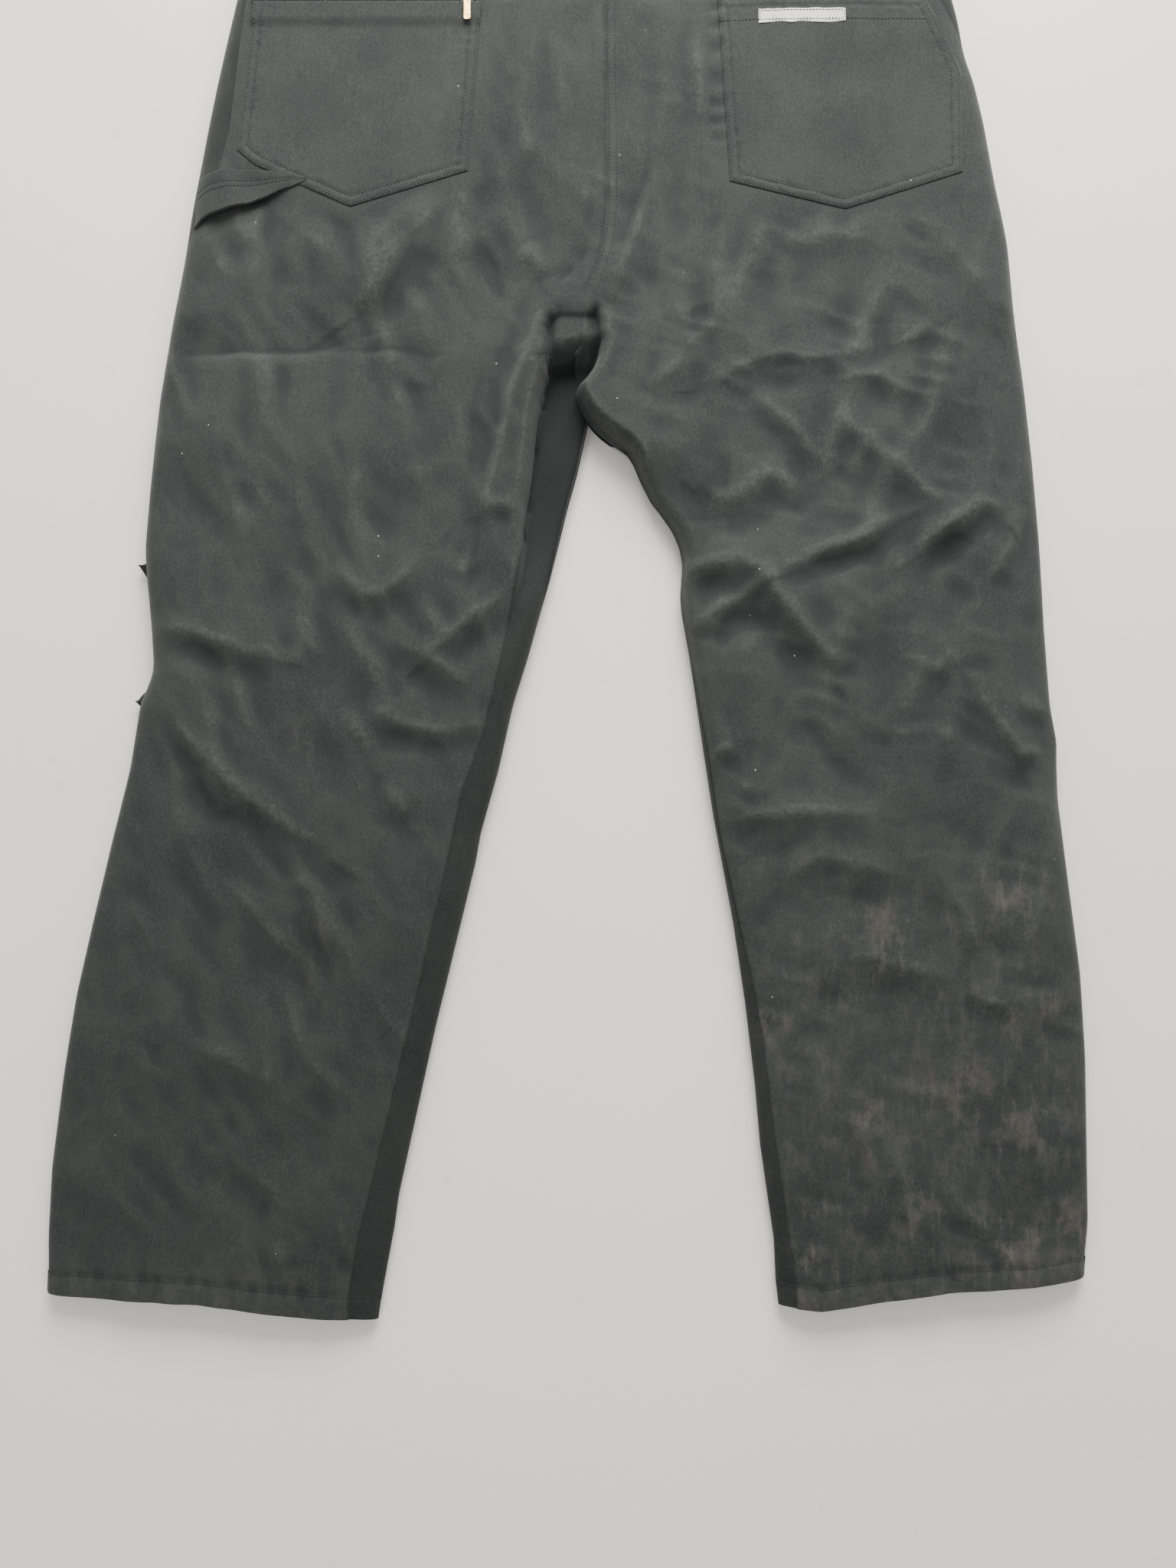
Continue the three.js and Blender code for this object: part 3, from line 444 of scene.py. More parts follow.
LEFT_POCKET, RIGHT_POCKET = pocket_outline(-1), pocket_outline(1)


def standing(y):
    """How high the padded cloth stands over the floor at its middle, in mm."""
    return np.interp(y, [0, 150, 400, 700, 860, 1040, 1130], [21, 26, 32, 40, 45, TOP, TOP - 1])


def top_of(side, x, y, with_folds=True):
    """Height of the cloth's upper side over the floor, in mm."""
    x, y = np.asarray(x, float), np.asarray(y, float)
    left = side < 0
    out = to_line(x, y, LEFT_SIDE_LINE if left else RIGHT_SIDE_LINE)[0]
    inner = to_line(x, y, LEFT_INSIDE_LINE if left else RIGHT_INSIDE_LINE)[0]
    leg = 1 - ease(560, 650, y) if left else 1 - ease(655, 700, y)
    inner = np.where(leg > 0, inner, FAR)
    full = standing(y)
    hip = ease(770, 900, y)
    middle = full * (0.34 + 0.16 * hip)
    shoulder = full * (0.66 + 0.31 * hip)
    curl = EDGE_CURL + HIP_CURL * hip
    slope = 75 - 30 * hip

    def cushion(gap):
        edge = np.minimum(out, gap)
        return (middle + (shoulder - middle) * rolled(edge / curl)
                + (full - shoulder) * swell(out / slope) * swell(gap / slope))

    z = cushion(inner) if leg.max() > 0 else cushion(FAR + 0 * x)
    open_z = cushion(FAR + 0 * x)
    rim = to_line(x, y, GAP_RIM)[0]
    away = np.where(inside(x, y, GAP_RIM), 0, rim)
    hollow = 8 + 32 * ease(760, 790, y - 0.25 * x)
    hollow = hollow - 7 * bump(np.abs(x + 14) - 20, 7) * ease(768, 782, y)
    seam = to_line(x, y, SEAT_SEAM[-6:])[0]
    seam_rise = np.interp(y, [764, 774, 798, 812], [0, 24, 29, 36])
    hollow = np.maximum(hollow, 8 + seam_rise * bump(seam, 4.5))
    lip = 1.6 * bump(away - 8, 6) * ease(600, 660, y) * (1 - ease(796, 808, y))
    near_gap = hollow + (open_z - hollow) * rolled(away / 9) * (0.88 + 0.12 * swell(away / 45)) + lip
    z = leg * z + (1 - leg) * near_gap
    if not with_folds:
        return z
    smooth = z
    edge = np.minimum(np.minimum(out, inner), np.where(leg < 1, away, FAR))
    free = swell(edge / 26)
    z = z + free * folded(x, y, LEFT_FOLDS + RIGHT_FOLDS)
    lively = free * (0.4 + 0.6 * (1 - ease(900, 1000, y)))
    z = z + lively * (2.2 * unevenness(x, y, 62, 3) + 1.1 * unevenness(x, y, 27, 8, 1.5))
    for lean, share in ((0.35, ease(40, -40, x)), (-0.35, ease(-40, 40, x))):
        broad, fine = creased(x, y, 34, 71, 2.6, lean), creased(x, y, 19, 75, 2.0, 0.9 - lean)
        z = z + lively * share * (1.15 * broad + 0.5 * fine)
    seat = free * ease(800, 860, y) * (1 - ease(1040, 1090, y))
    z = z + seat * 0.8 * creased(x, y, 31, 81, 2.6, 0.0)
    z = z + free * (0.28 * unevenness(x, y, 11, 12, 1.7) + 0.10 * unevenness(x, y, 5, 15))
    pocket = LEFT_POCKET if left else RIGHT_POCKET
    under = to_line(x, y, pocket + pocket[:1])[0]
    under = np.where(inside(x, y, pocket) | (y > pocket[0][1]), 0, under)
    z = z + (smooth - z) * (1 - ease(0, 22, under))
    if not left:
        puckers = np.sin(y / 3.1 + 2 * np.sin(y / 17)) * ease(930, 960, y)
        z = z + 0.9 * bump(x - pocket[-1][0], 7) * puckers
    seams = np.minimum(to_line(x, y, SEAT_SEAM)[0], FAR)
    z = z - 1.1 * bump(seams, 1.6) * ease(806, 830, y) + 0.7 * bump(seams - 6, 4) * free
    gathers = ease(1060, BAND_SEAM, y)
    ruffled = gathers * (1 - ease(BAND_SEAM - 6, BAND_SEAM, y))
    ruffles = np.sin(x / 2.1 + 1.3 * np.sin(x / 31)) + 0.4 * np.sin(x / 5.3)
    z = z + ruffled * free * 1.5 * ruffles - gathers * swell(out / 12)
    return np.clip(z, 3, 52)


def hem_shift(x, v):
    left, right = (np.interp(x, *np.array(hem, float).T) for hem in (LEFT_HEM, RIGHT_HEM))
    line = np.where(x < 0, left, right)
    return line * np.clip(1 - v / 170, 0, 1)


def rows_from(low, high):
    """Row places, closer together round the crotch."""
    marks, at = [], low
    while at < high:
        marks.append(at)
        at += CLOTH_STEP * (0.55 if 725 < at < 830 else 1)
    return np.array(marks + [high])


def spread(count, crowd=0.5):
    u = np.linspace(0, 1, count)
    return u - crowd * np.sin(2 * np.pi * u) / (2 * np.pi)


def spanned(rows, places, from_line, to_line_):
    """Grids of x and y between two lines, with the rows sheared to follow the hem."""
    v, t = np.meshgrid(rows, places, indexing="ij")
    x = from_line(v) * (1 - t) + to_line_(v) * t
    y = v + hem_shift(x, v)
    x = from_line(y) * (1 - t) + to_line_(y) * t
    return x, y


def in_frame(x, y, z):
    return np.stack([x + ACROSS, y + UP, np.broadcast_to(z, x.shape)], -1).reshape(-1, 3) / 1000


class Cloth:
    """Gathers grids of points into one mesh."""

    def __init__(self):
        self.points, self.faces, self.marks, self.count = [], [], {"wear_and_shade": [], "dirt": []}, 0

    def grid(self, x, y, z, wear_and_shade=0.0, dirt=0.0, over=True, ring=False):
        rows, columns = x.shape
        index = np.arange(rows * columns).reshape(rows, columns) + self.count
        if ring:
            index = np.concatenate([index, index[:, :1]], 1)
        a, b, c, d = index[:-1, :-1], index[:-1, 1:], index[1:, 1:], index[1:, :-1]
        quads = np.stack([a, b, c, d] if over else [a, d, c, b], -1).reshape(-1, 4)
        self.points.append(in_frame(x, y, z))
        self.faces.append(quads)
        self.marks["wear_and_shade"].append((np.zeros(x.shape) + wear_and_shade).ravel())
        self.marks["dirt"].append((np.zeros(x.shape) + dirt).ravel())
        self.count += rows * columns

    def made(self, name, finish, merge=0.00002):
        points, quads = np.concatenate(self.points), np.concatenate(self.faces)
        mesh = bpy.data.meshes.new(name)
        mesh.vertices.add(len(points))
        mesh.vertices.foreach_set("co", points.ravel())
        mesh.loops.add(quads.size)
        mesh.loops.foreach_set("vertex_index", quads.ravel().astype(np.int32))
        mesh.polygons.add(len(quads))
        mesh.polygons.foreach_set("loop_start", np.arange(0, quads.size, 4, dtype=np.int32))
        mesh.update()
        mesh.validate()
        for key, parts in self.marks.items():
            values = np.concatenate(parts).astype(np.float32)
            mesh.attributes.new(key, "FLOAT", "POINT").data.foreach_set("value", values)
        if merge:
            shape = bmesh.new()
            shape.from_mesh(mesh)
            bmesh.ops.remove_doubles(shape, verts=shape.verts, dist=merge)
            shape.to_mesh(mesh)
            shape.free()
        mesh.polygons.foreach_set("use_smooth", np.ones(len(mesh.polygons), bool))
        mesh.materials.append(finish)
        piece = bpy.data.objects.new(name, mesh)
        bpy.context.scene.collection.objects.link(piece)
        return piece


def wear_and_shade_map(z):
    """Where the cloth is worn and where shade is painted: wear on the crests, thin on the flats, and low
    values in the furrows that paint them darker.
    """
    def blurred(a, n):
        kernel = np.ones(n) / n
        for axis in (0, 1):
            pad = [(0, 0), (0, 0)]
            pad[axis] = (n // 2, n // 2)
            padded = np.pad(a, pad, "edge")
            a = np.apply_along_axis(lambda row: np.convolve(row, kernel, "valid"), axis, padded)
        return a
    crest = blurred(z, 3) - blurred(z, 9)
    return np.clip(0.5 + 0.55 * crest, 0, 1)


# Stains: strength, middle (mm) and reach (mm).
DIRT_SPOTS = [(0.55, -194, 2, 6), (0.28, -221, 295, 19), (0.22, -320, 403, 15), (0.25, -209, 257, 16),
              (0.28, -227, 453, 21), (0.5, 322, 235, 16), (0.39, 368, 238, 9), (0.39, 334, 327, 19),
              (0.44, 334, 60, 21), (0.44, 381, 73, 14), (0.39, 217, 155, 14), (0.41, 260, 79, 14),
              (0.39, 171, 47, 11), (0.33, 143, 225, 14), (0.28, 291, 168, 29), (0.25, 223, 295, 31),
              (0.22, 347, 149, 25)]


def soiled(x, y):
    """Dried mud and dust, thickest round the right shin and hem."""
    total = 0.10 * ease(520, 120, y) + 0.10 * ease(80, 0, y)
    total = total + 0.12 * ease(560, 200, y) * (x > 0)
    for strength, middle_x, middle_y, reach in DIRT_SPOTS:
        total = total + strength * np.exp(-((x - middle_x) ** 2 + (y - middle_y) ** 2) / reach ** 2)
    return np.clip(total, 0, 1)


def twill(name, light=1.0, dust=1.0, turn=0.0):
    """Worn charcoal twill: light scales its tone, dust its dirt, and turn (radians) sets its warp."""
    made, shader = material(name)

    def tone(red, green, blue):
        return (red * light, green * light, blue * light, 1)

    fine = placed(made, (1, 1, 1), turn)
    warp = placed(made, (980, 420, 640), turn)
    broad = noise(made, fine, 14, 5, 0.6)
    fleck = noise(made, warp, 1.0, 3, 0.65)
    slub = noise(made, placed(made, (420, 60, 100), turn), 1.0, 3, 0.6)
    base = mixed(made, ramp(made, broad, 0.35, 0.65), tone(0.026, 0.0298, 0.0280),
                 tone(0.039, 0.0420, 0.0388))
    base = mixed(made, ramp(made, fleck, 0.38, 0.70, 0, 0.44), base, tone(0.078, 0.081, 0.075))
    base = mixed(made, ramp(made, slub, 0.5, 0.75, 0, 0.16), base, tone(0.072, 0.075, 0.070))
    wear_and_shade = node(made, "ShaderNodeAttribute", attribute_name="wear_and_shade").outputs["Fac"]
    # Painted shade: where the wear and shade attribute is below 0.5 (in furrows, in hollows and on strips
    # given low values), the twill is mixed towards a darker tone.
    base = mixed(made, ramp(made, wear_and_shade, 0.1, 0.5, 0.55, 0.0), base, tone(0.020, 0.024, 0.023))
    rubbed = times(made, ramp(made, wear_and_shade, 0.68, 1.1), ramp(made, noise(made, fine, 210, 5, 0.75), 0.36, 0.66))
    base = mixed(made, times(made, rubbed, 0.30), base, (0.15, 0.15, 0.138, 1))
    dirt = node(made, "ShaderNodeAttribute", attribute_name="dirt").outputs["Fac"]
    patchy = ramp(made, noise(made, fine, 42, 6, 0.72), 0.42, 0.68)
    smear = ramp(made, noise(made, placed(made, (150, 40, 80), turn + 0.5), 1.0, 5, 0.7), 0.5, 0.72)
    mud = times(made, dirt, added(made, patchy, smear))
    base = mixed(made, times(made, ramp(made, mud, 0.05, 1.0), 0.36 * dust), base, (0.26, 0.225, 0.175, 1))
    cells = node(made, "ShaderNodeTexVoronoi", {"Vector": fine, "Scale": 46}).outputs["Distance"]
    lint = times(made, ramp(made, cells, 0.030, 0.022), ramp(made, noise(made, fine, 15, 2), 0.57, 0.6))
    base = mixed(made, times(made, lint, 0.8), base, (0.62, 0.62, 0.6, 1))
    # Darker towards the hems: the tone is scaled down to 0.80 at the bottom of the legs and up to 1.0 towards
    # the hips.
    along = node(made, "ShaderNodeSeparateXYZ", {0: fine}).outputs[1]
    darker_to_hems = ramp(made, along, -0.5, 0.15, 0.80, 1.0)
    grey = node(made, "ShaderNodeCombineColor", {0: darker_to_hems, 1: darker_to_hems, 2: darker_to_hems}).outputs[0]
    base = mixed(made, 1.0, base, grey, "MULTIPLY")
    made.node_tree.links.new(base, shader.inputs["Base Color"])
    shader.inputs["Roughness"].default_value = 0.92
    shader.inputs["Specular IOR Level"].default_value = 0.16
    shader.inputs["Sheen Weight"].default_value = 0.10
    shader.inputs["Sheen Roughness"].default_value = 0.45
    slant = placed(made, (1, 1, 1), turn + math.radians(63))
    rib = node(made, "ShaderNodeTexWave", {"Vector": slant, "Scale": 320, "Distortion": 0.6, "Detail": 1.0},
               bands_direction="X").outputs["Fac"]
    height = added(made, times(made, rib, 0.5), times(made, fleck, 0.9))
    bumped(made, shader, height, 0.5, 0.00035)
    return made


LEG_TURN = 0.06
left_twill = twill("twill_left_back", 1.0, 0.8, LEG_TURN)
right_twill = twill("twill_right_back", 1.04, 1.25, -LEG_TURN)

HEM_DEPTH = 17


def hemmed(x, z, v):
    """The turned-up hem: thicker, with a stitched furrow at its upper edge and small puckers."""
    band = 1 - ease(HEM_DEPTH - 1, HEM_DEPTH + 1.5, v)
    pucker = np.sin(x / 2.3 + 1.7 * np.sin(x / 13)) * bump(v - HEM_DEPTH + 3, 9)
    return z + 0.8 * band - 1.5 * bump(v - HEM_DEPTH, 1.8) + 0.6 * pucker


def carried(piece, cad, body="pants"):
    """Puts a piece on its body, in place of its CAD node."""
    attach(piece, body)
    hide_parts(cad)
    return piece


for side, finish, outer, inner in ((-1, left_twill, left_outseam, left_back_in),
                                   (1, right_twill, right_outseam, right_back_in)):
    name = "back_panel_left" if side < 0 else "back_panel_right"
    rows = rows_from(0, BAND_SEAM + 8)
    ends = (outer, inner) if side < 0 else (inner, outer)
    x, y = spanned(rows, spread(146), *ends)
    v = np.broadcast_to(rows[:, None], x.shape)
    z = hemmed(x, top_of(side, x, y), v)
    seam = np.minimum(np.abs(x - x[:, :1]), np.abs(x - x[:, -1:]))
    leg_seam = (v < 760) * bump(seam, 1.5)
    z = z - 0.9 * leg_seam
    cloth = Cloth()
    # Wear on the crests and along the hem's fold; painted shade in the furrows, where the values are low.
    cloth.grid(x, y, z, wear_and_shade_map(z) + 0.25 * bump(v, 5), soiled(x, y))
    turned = slice(0, 9)
    inner_z = z[turned] - 1.5
    cloth.grid(x[turned], y[turned] + 0.4, inner_z, 0.3, 0.1, over=False)
    lip = np.stack([z[0], z[0] - 0.2, z[0] - 1.3, z[0] - 1.5])
    lip_y = np.stack([y[0], y[0] - 0.7, y[0] - 0.5, y[0] + 0.4])
    cloth.grid(np.repeat(x[:1], 4, 0), lip_y, lip, 0.9, 0.3, over=False)
    carried(cloth.made(f"{name}_cloth", finish), name)

# ---------------------------------------------------------------------------
# Left and right front panels: the same twill, underneath, in a copy painted darker as shade. They roll round
# onto the back at both hips and along the inside of the legs, where they show dark.
# ---------------------------------------------------------------------------
UNDER_LIFT = 1.0
FLY_HOLLOW = 9.2


def under_of(side, x, y):
    """Height of the cloth's lower side over the floor, in mm."""
    left = side < 0
    out = to_line(x, y, LEFT_SIDE_LINE if left else RIGHT_SIDE_LINE)[0]
    inner = np.where(y < 728, to_line(x, y, LEFT_INSIDE_LINE if left else RIGHT_INSIDE_LINE)[0], FAR)
    full = standing(y)
    middle = full * (0.34 + 0.16 * ease(770, 900, y))
    edge = np.minimum(out, inner)
    z = middle - (middle - UNDER_LIFT) * rolled(edge / (EDGE_CURL - 1 + HIP_CURL * ease(770, 900, y)))
    recess = ease(24, 20, np.abs(x)) * ease(900, 912, y)
    return z + (FLY_HOLLOW - UNDER_LIFT) * recess + 2.2 * ease(BAND_SEAM - 5, BAND_SEAM, y) * swell(edge / 12)


# Painted shade: the same twill at 0.70 of the back panels' tone, for the panels underneath that show in the
# rolls, the folds and the crotch.
shaded_front_twill = twill("twill_front_shaded", 0.70, 0.9, 0.0)
left_middle = smoothed([(0, 1126), (0, 790), (2, 760), (1, 728)] + LEFT_INSIDE[2:], 3)
right_middle = smoothed([(0, 1126), (0, 790), (2, 760), (0, 728), (0, 723)] + RIGHT_INSIDE[10:], 1.5)
strip_top = [(22, 800), (14, 784), (12, 770), (8, 756), (2, 740), (1, 728)]
left_strip_end = smoothed(strip_top + LEFT_INSIDE[2:], 2)

for side, outer, middle, seam, side_line in ((-1, left_outseam, left_middle, left_back_in, left_side),
                                             (1, right_outseam, right_middle, right_back_in, right_side)):
    name = "front_panel_left" if side < 0 else "front_panel_right"
    rows = np.arange(0, BAND_SEAM + 9, 6.08)
    cloth = Cloth()
    first, last = (side_line, middle) if side < 0 else (middle, side_line)
    x, y = spanned(rows, spread(52, 0.8), first, last)
    cloth.grid(x, y, under_of(side, x, y), 0.35, 0.1, over=False)
    rows = rows_from(0, BAND_SEAM + 8)
    wrap = (side_line, outer) if side < 0 else (outer, side_line)
    x, y = spanned(rows, np.linspace(0, 1, 9), *wrap)
    from_edge = np.linspace(0, 1, 9)[::-side]
    x = x - side * 0.4 * from_edge
    z = top_of(side, x, y) - 0.9 * from_edge
    # Painted shade: the wrap round the side is given a value of 0.34, so it shows darker than the back panel.
    cloth.grid(x, y, z, 0.34, 0.1)
    strip_rows = rows_from(0, 792 if side < 0 else 536)
    wrap = (seam, left_strip_end) if side < 0 else (right_inside, seam)
    x, y = spanned(strip_rows, spread(22, 0.6), *wrap)
    v = np.broadcast_to(strip_rows[:, None], x.shape)
    high = top_of(side, x, y)
    if side < 0:
        rim = to_line(x, y, LEFT_INSIDE_LINE)[0]
        low = 4 + 5.5 * rolled(np.where(y < 735, rim, 30) / 8) + 0.5 * unevenness(x, y, 22, 5)
        roll = ease(545, 640, y)
        joined = top_of(side, x[:, :1], y[:, :1])
        low = low + (joined - low) * bump(x - x[:, :1], 3.5)
        high = high * (1 - roll) + low * roll
    from_seam = np.minimum(1, np.abs(x - (x[:, :1] if side < 0 else x[:, -1:])) / 3)
    z = hemmed(x, high, v) - 0.35 * from_seam
    # Painted shadow: the left strip's value falls from 0.42 to 0.06 between y 540 and 700, darkening it under
    # the roll's overhang.
    cloth.grid(x, y, z, 0.42 - (0.36 * ease(540, 700, y) if side < 0 else 0), 0.5 * soiled(x, y))
    x, y = spanned(np.array([0, 4, 9, 14, 18]), spread(60, 0.8), first, last)
    cloth.grid(x, y, under_of(side, x, y) + 1.5, 0.3, 0.1, over=True)
    lip_y = np.stack([y[0], y[0] - 0.5, y[0] - 0.4, y[0] + 0.2])
    base = under_of(side, x[0], y[0])
    cloth.grid(np.repeat(x[:1], 4, 0), lip_y, np.stack([base, base + 0.3, base + 1.2, base + 1.5]), 0.8, 0.3)
    carried(cloth.made(f"{name}_cloth", shaded_front_twill), name)

# ---------------------------------------------------------------------------
# Lining: red nylon quilted to thin wadding in diamonds, sewn in as left and
# right, back and front. It shows inside the hems and inside the waist.
# ---------------------------------------------------------------------------
LINING_START, LINING_END = 13, 1130
QUILT = 44.0


def quilted(x, y):
    a, b = (x + 0.62 * y) / QUILT, (x - 0.62 * y) / QUILT
    return (np.abs(np.sin(np.pi * a)) * np.abs(np.sin(np.pi * b))) ** 0.45


red_nylon, shader = material("red_quilted_nylon")
where = placed(red_nylon, (1, 1, 1))
thread = noise(red_nylon, placed(red_nylon, (700, 700, 700)), 1.0, 2)
colour = mixed(red_nylon, noise(red_nylon, where, 12, 4), (0.22, 0.008, 0.012, 1), (0.36, 0.018, 0.024, 1))
colour = mixed(red_nylon, ramp(red_nylon, thread, 0.5, 0.8, 0, 0.3), colour, (0.48, 0.05, 0.05, 1))
red_nylon.node_tree.links.new(colour, shader.inputs["Base Color"])
shader.inputs["Roughness"].default_value = 0.55
shader.inputs["Sheen Weight"].default_value = 0.15
bumped(red_nylon, shader, noise(red_nylon, where, 260, 4), 0.3, 0.0006)

def thickened(piece, name, thickness, offset=-1):
    """Gives a sheet its thickness: inwards at -1, to both sides at 0, outwards at 1."""
    wall = piece.modifiers.new(name, "SOLIDIFY")
    wall.thickness = thickness
    wall.offset = offset
    return piece


for side in (-1, 1):
    edge_out, edge_in = (left_side, left_middle) if side < 0 else (right_side, right_middle)
    for part in ("back", "front"):
        name = f"lining_{part}_{'left' if side < 0 else 'right'}"
        rows = np.linspace(LINING_START, LINING_END, 200)
        back_in = left_back_in if side < 0 else right_back_in

        def tucked(y, s=side, leg_edge=edge_in, gap_edge=back_in):
            near_gap = ease(490, 560, y) * (1 - ease(822, 850, y))
            beside = gap_edge(y) + s * 12
            beside = np.where(y > 735, np.minimum(beside, -48) if s < 0 else np.maximum(beside, 26), beside)
            in_leg = leg_edge(y) + s * np.interp(y, [700, 760], [7.0, 0.0])
            return in_leg * (1 - near_gap) + beside * near_gap

        tuck = (lambda y, s=side, e=edge_out: e(y) - s * 7), tucked
        ends = tuck if side < 0 else tuck[::-1]
        x, y = spanned(rows, spread(64, 0.8), *ends)
        if part == "back":
            z = top_of(side, x, y, False) - 5.0 - 1.6 * (1 - quilted(x, y))
            z = np.minimum(z, top_of(side, x, y) - 3.5)
        else:
            z = under_of(side, x, y) + 4.2 + 1.8 * quilted(x, y)
        cloth = Cloth()
        cloth.grid(x, y, z, over=part == "front")
        quilt = cloth.made(f"{name}_quilt", red_nylon)
        thickened(quilt, "wadding", 0.0018, 1 if part == "back" else -1)
        carried(quilt, name)

# ---------------------------------------------------------------------------
# Waistband: twill gathered on a wide elastic, in a back piece and two front
# pieces that roll round the sides. Three rows of stitching hold the elastic.
# ---------------------------------------------------------------------------
BAND_WALL = 3.4
BAND_HOLLOW = 8.3
GATHER = 11.5
band_low, band_high = (1000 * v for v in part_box("waistband_back"))
BAND_LEFT, BAND_RIGHT = band_low.x - ACROSS, band_high.x - ACROSS
waist_low = 1000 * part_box("waistband_front_left")[0].x - ACROSS
waist_high = 1000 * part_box("waistband_front_right")[1].x - ACROSS


def waist_loop(step):
    """Points round the waist as it lies, going over the back from the left."""
    radius = (TOP - 1) / 2
    turns = np.linspace(-np.pi / 2, np.pi / 2, 22)[1:-1]
    low_x, high_x = waist_low + radius, waist_high - radius
    over = [(x, TOP) for x in np.arange(low_x, high_x, step)]
    right = [(high_x + radius * math.cos(a), 1 + radius + radius * math.sin(a)) for a in turns[::-1]]
    under = [(x, 1.0) for x in np.arange(high_x, low_x, -step)]
    left = [(low_x - radius * math.cos(a), 1 + radius + radius * math.sin(a)) for a in turns]
    return np.array(left[10:] + over + right + under + left[:10])


def band_piece(name, path, finish):
    """A stretch of the band: its rounded section carried along the path."""
    rows = [(first + k, w) for first in (8, 19, 30) for k, w in enumerate((0.90, 0.72, 0.90))]
    swells = [(3, 1), (14, 1.02), (25, 1.02), (36, 1.0)]
    outside = [(0, 0.2), (0, 0.9)] + sorted(rows + swells) + [(39, 0.95), (40, 0.6), (40, 0.2)]
    v, w = np.array(outside + [(39, 0.0), (20, 0.0), (2, 0.0)], float).T
    p = np.array(path)
    ahead = np.gradient(p, axis=0)
    ahead /= np.hypot(ahead[:, 0], ahead[:, 1])[:, None]
    normal = np.stack([-ahead[:, 1], ahead[:, 0]], -1)
    gone = np.concatenate([[0], np.cumsum(np.hypot(*np.diff(p, axis=0).T))])
    wave = 0.75 * np.sin(2 * np.pi * gone / GATHER + 1.5 * np.sin(gone / 41)) + 0.35 * np.sin(gone / 3.1)
    inward = np.minimum(0, -np.stack([BAND_WALL * (1 - w)] * len(p)))
    ripples = wave[:, None] * (w > 0.1)[None, :] * 0.8 - 0.9 * (w > 0.1)[None, :]
    off = inward + ripples
    x = p[:, :1] + normal[:, :1] * off
    z = p[:, 1:] + normal[:, 1:] * off
    hollow = ease(26, 21, np.abs(x)) * (p[:, 1:] < 10)
    z = z + BAND_HOLLOW * hollow
    y = np.broadcast_to(BAND_SEAM + v[None, :], x.shape)
    cloth = Cloth()
    # Wear on the gathers' crests and painted shade between them: the value drops to 0.1 in the furrows, which
    # darkens them.
    crest = np.clip(0.45 + 0.35 * wave[:, None] * (w > 0.85)[None, :], 0, 1)
    cloth.grid(x, y, np.maximum(z, 0.3), crest, 0.05, over=True, ring=True)
    piece = cloth.made(name, finish)
    shape = bmesh.new()
    shape.from_mesh(piece.data)
    bmesh.ops.holes_fill(shape, edges=[e for e in shape.edges if e.is_boundary], sides=0)
    bmesh.ops.recalc_face_normals(shape, faces=shape.faces)
    shape.to_mesh(piece.data)
    shape.free()
    return piece


band_twill = twill("twill_waistband", 0.95, 0.4, math.pi / 2)
loop = waist_loop(2.3)
is_back = (loop[:, 1] > 30) & (loop[:, 0] > BAND_LEFT) & (loop[:, 0] < BAND_RIGHT)
begin = int(np.argmax(is_back))
loop = np.roll(loop, -begin, axis=0)
is_back = np.roll(is_back, -begin)
end_back = int(np.argmin(is_back))
rest = loop[end_back:]
at_fly = int(np.argmin(np.abs(rest[:, 0]) + 1000 * (rest[:, 1] > 10)))
bands = {"waistband_back": loop[:end_back + 1], "waistband_front_right": rest[:at_fly + 1],
         "waistband_front_left": np.concatenate([rest[at_fly:], loop[:1]])}
for name, path in bands.items():
    piece = carried(band_piece(f"{name}_gathered", path, band_twill), name)

# ---------------------------------------------------------------------------
# Waist elastic: a woven ribbed strip, 30 mm wide, in the back of the waistband.
# ---------------------------------------------------------------------------
elastic_low, elastic_high = (1000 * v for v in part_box("waist_elastic"))
rib_x = np.linspace(elastic_low.x - ACROSS, elastic_high.x - ACROSS, 420)
across = np.linspace(elastic_low.y - UP, elastic_high.y - UP, 21)
y, x = np.meshgrid(across, rib_x, indexing="ij")
ribs = 0.25 * np.cos((y - across[0]) / 3 * 2 * np.pi) + 0.08 * np.sin(x * 2.2)
elastic = Cloth()
elastic.grid(x, y, elastic_high.z - 1.3 + ribs)
knit, shader = material("ribbed_elastic")
fine = noise(knit, placed(knit, (500, 900, 500)), 1.0, 3)
colour = mixed(knit, fine, (0.016, 0.016, 0.017, 1), (0.04, 0.04, 0.042, 1))
knit.node_tree.links.new(colour, shader.inputs["Base Color"])
shader.inputs["Roughness"].default_value = 0.85
bumped(knit, shader, noise(knit, placed(knit, (900, 900, 900)), 1.0, 2), 0.4, 0.0003)
piece = thickened(elastic.made("waist_elastic_strip", knit), "thickness", 0.0008)
carried(piece, "waist_elastic")

# ---------------------------------------------------------------------------
# Stitching: lockstitch in dark polyester, one short thread on top for each
# stitch. The runs follow the cloth: hems, seat seam, pockets, loop.
# ---------------------------------------------------------------------------
STITCH_PITCH = 0.0031
STITCH_LENGTH = 0.0023
STITCH_THICKNESS = 0.00062


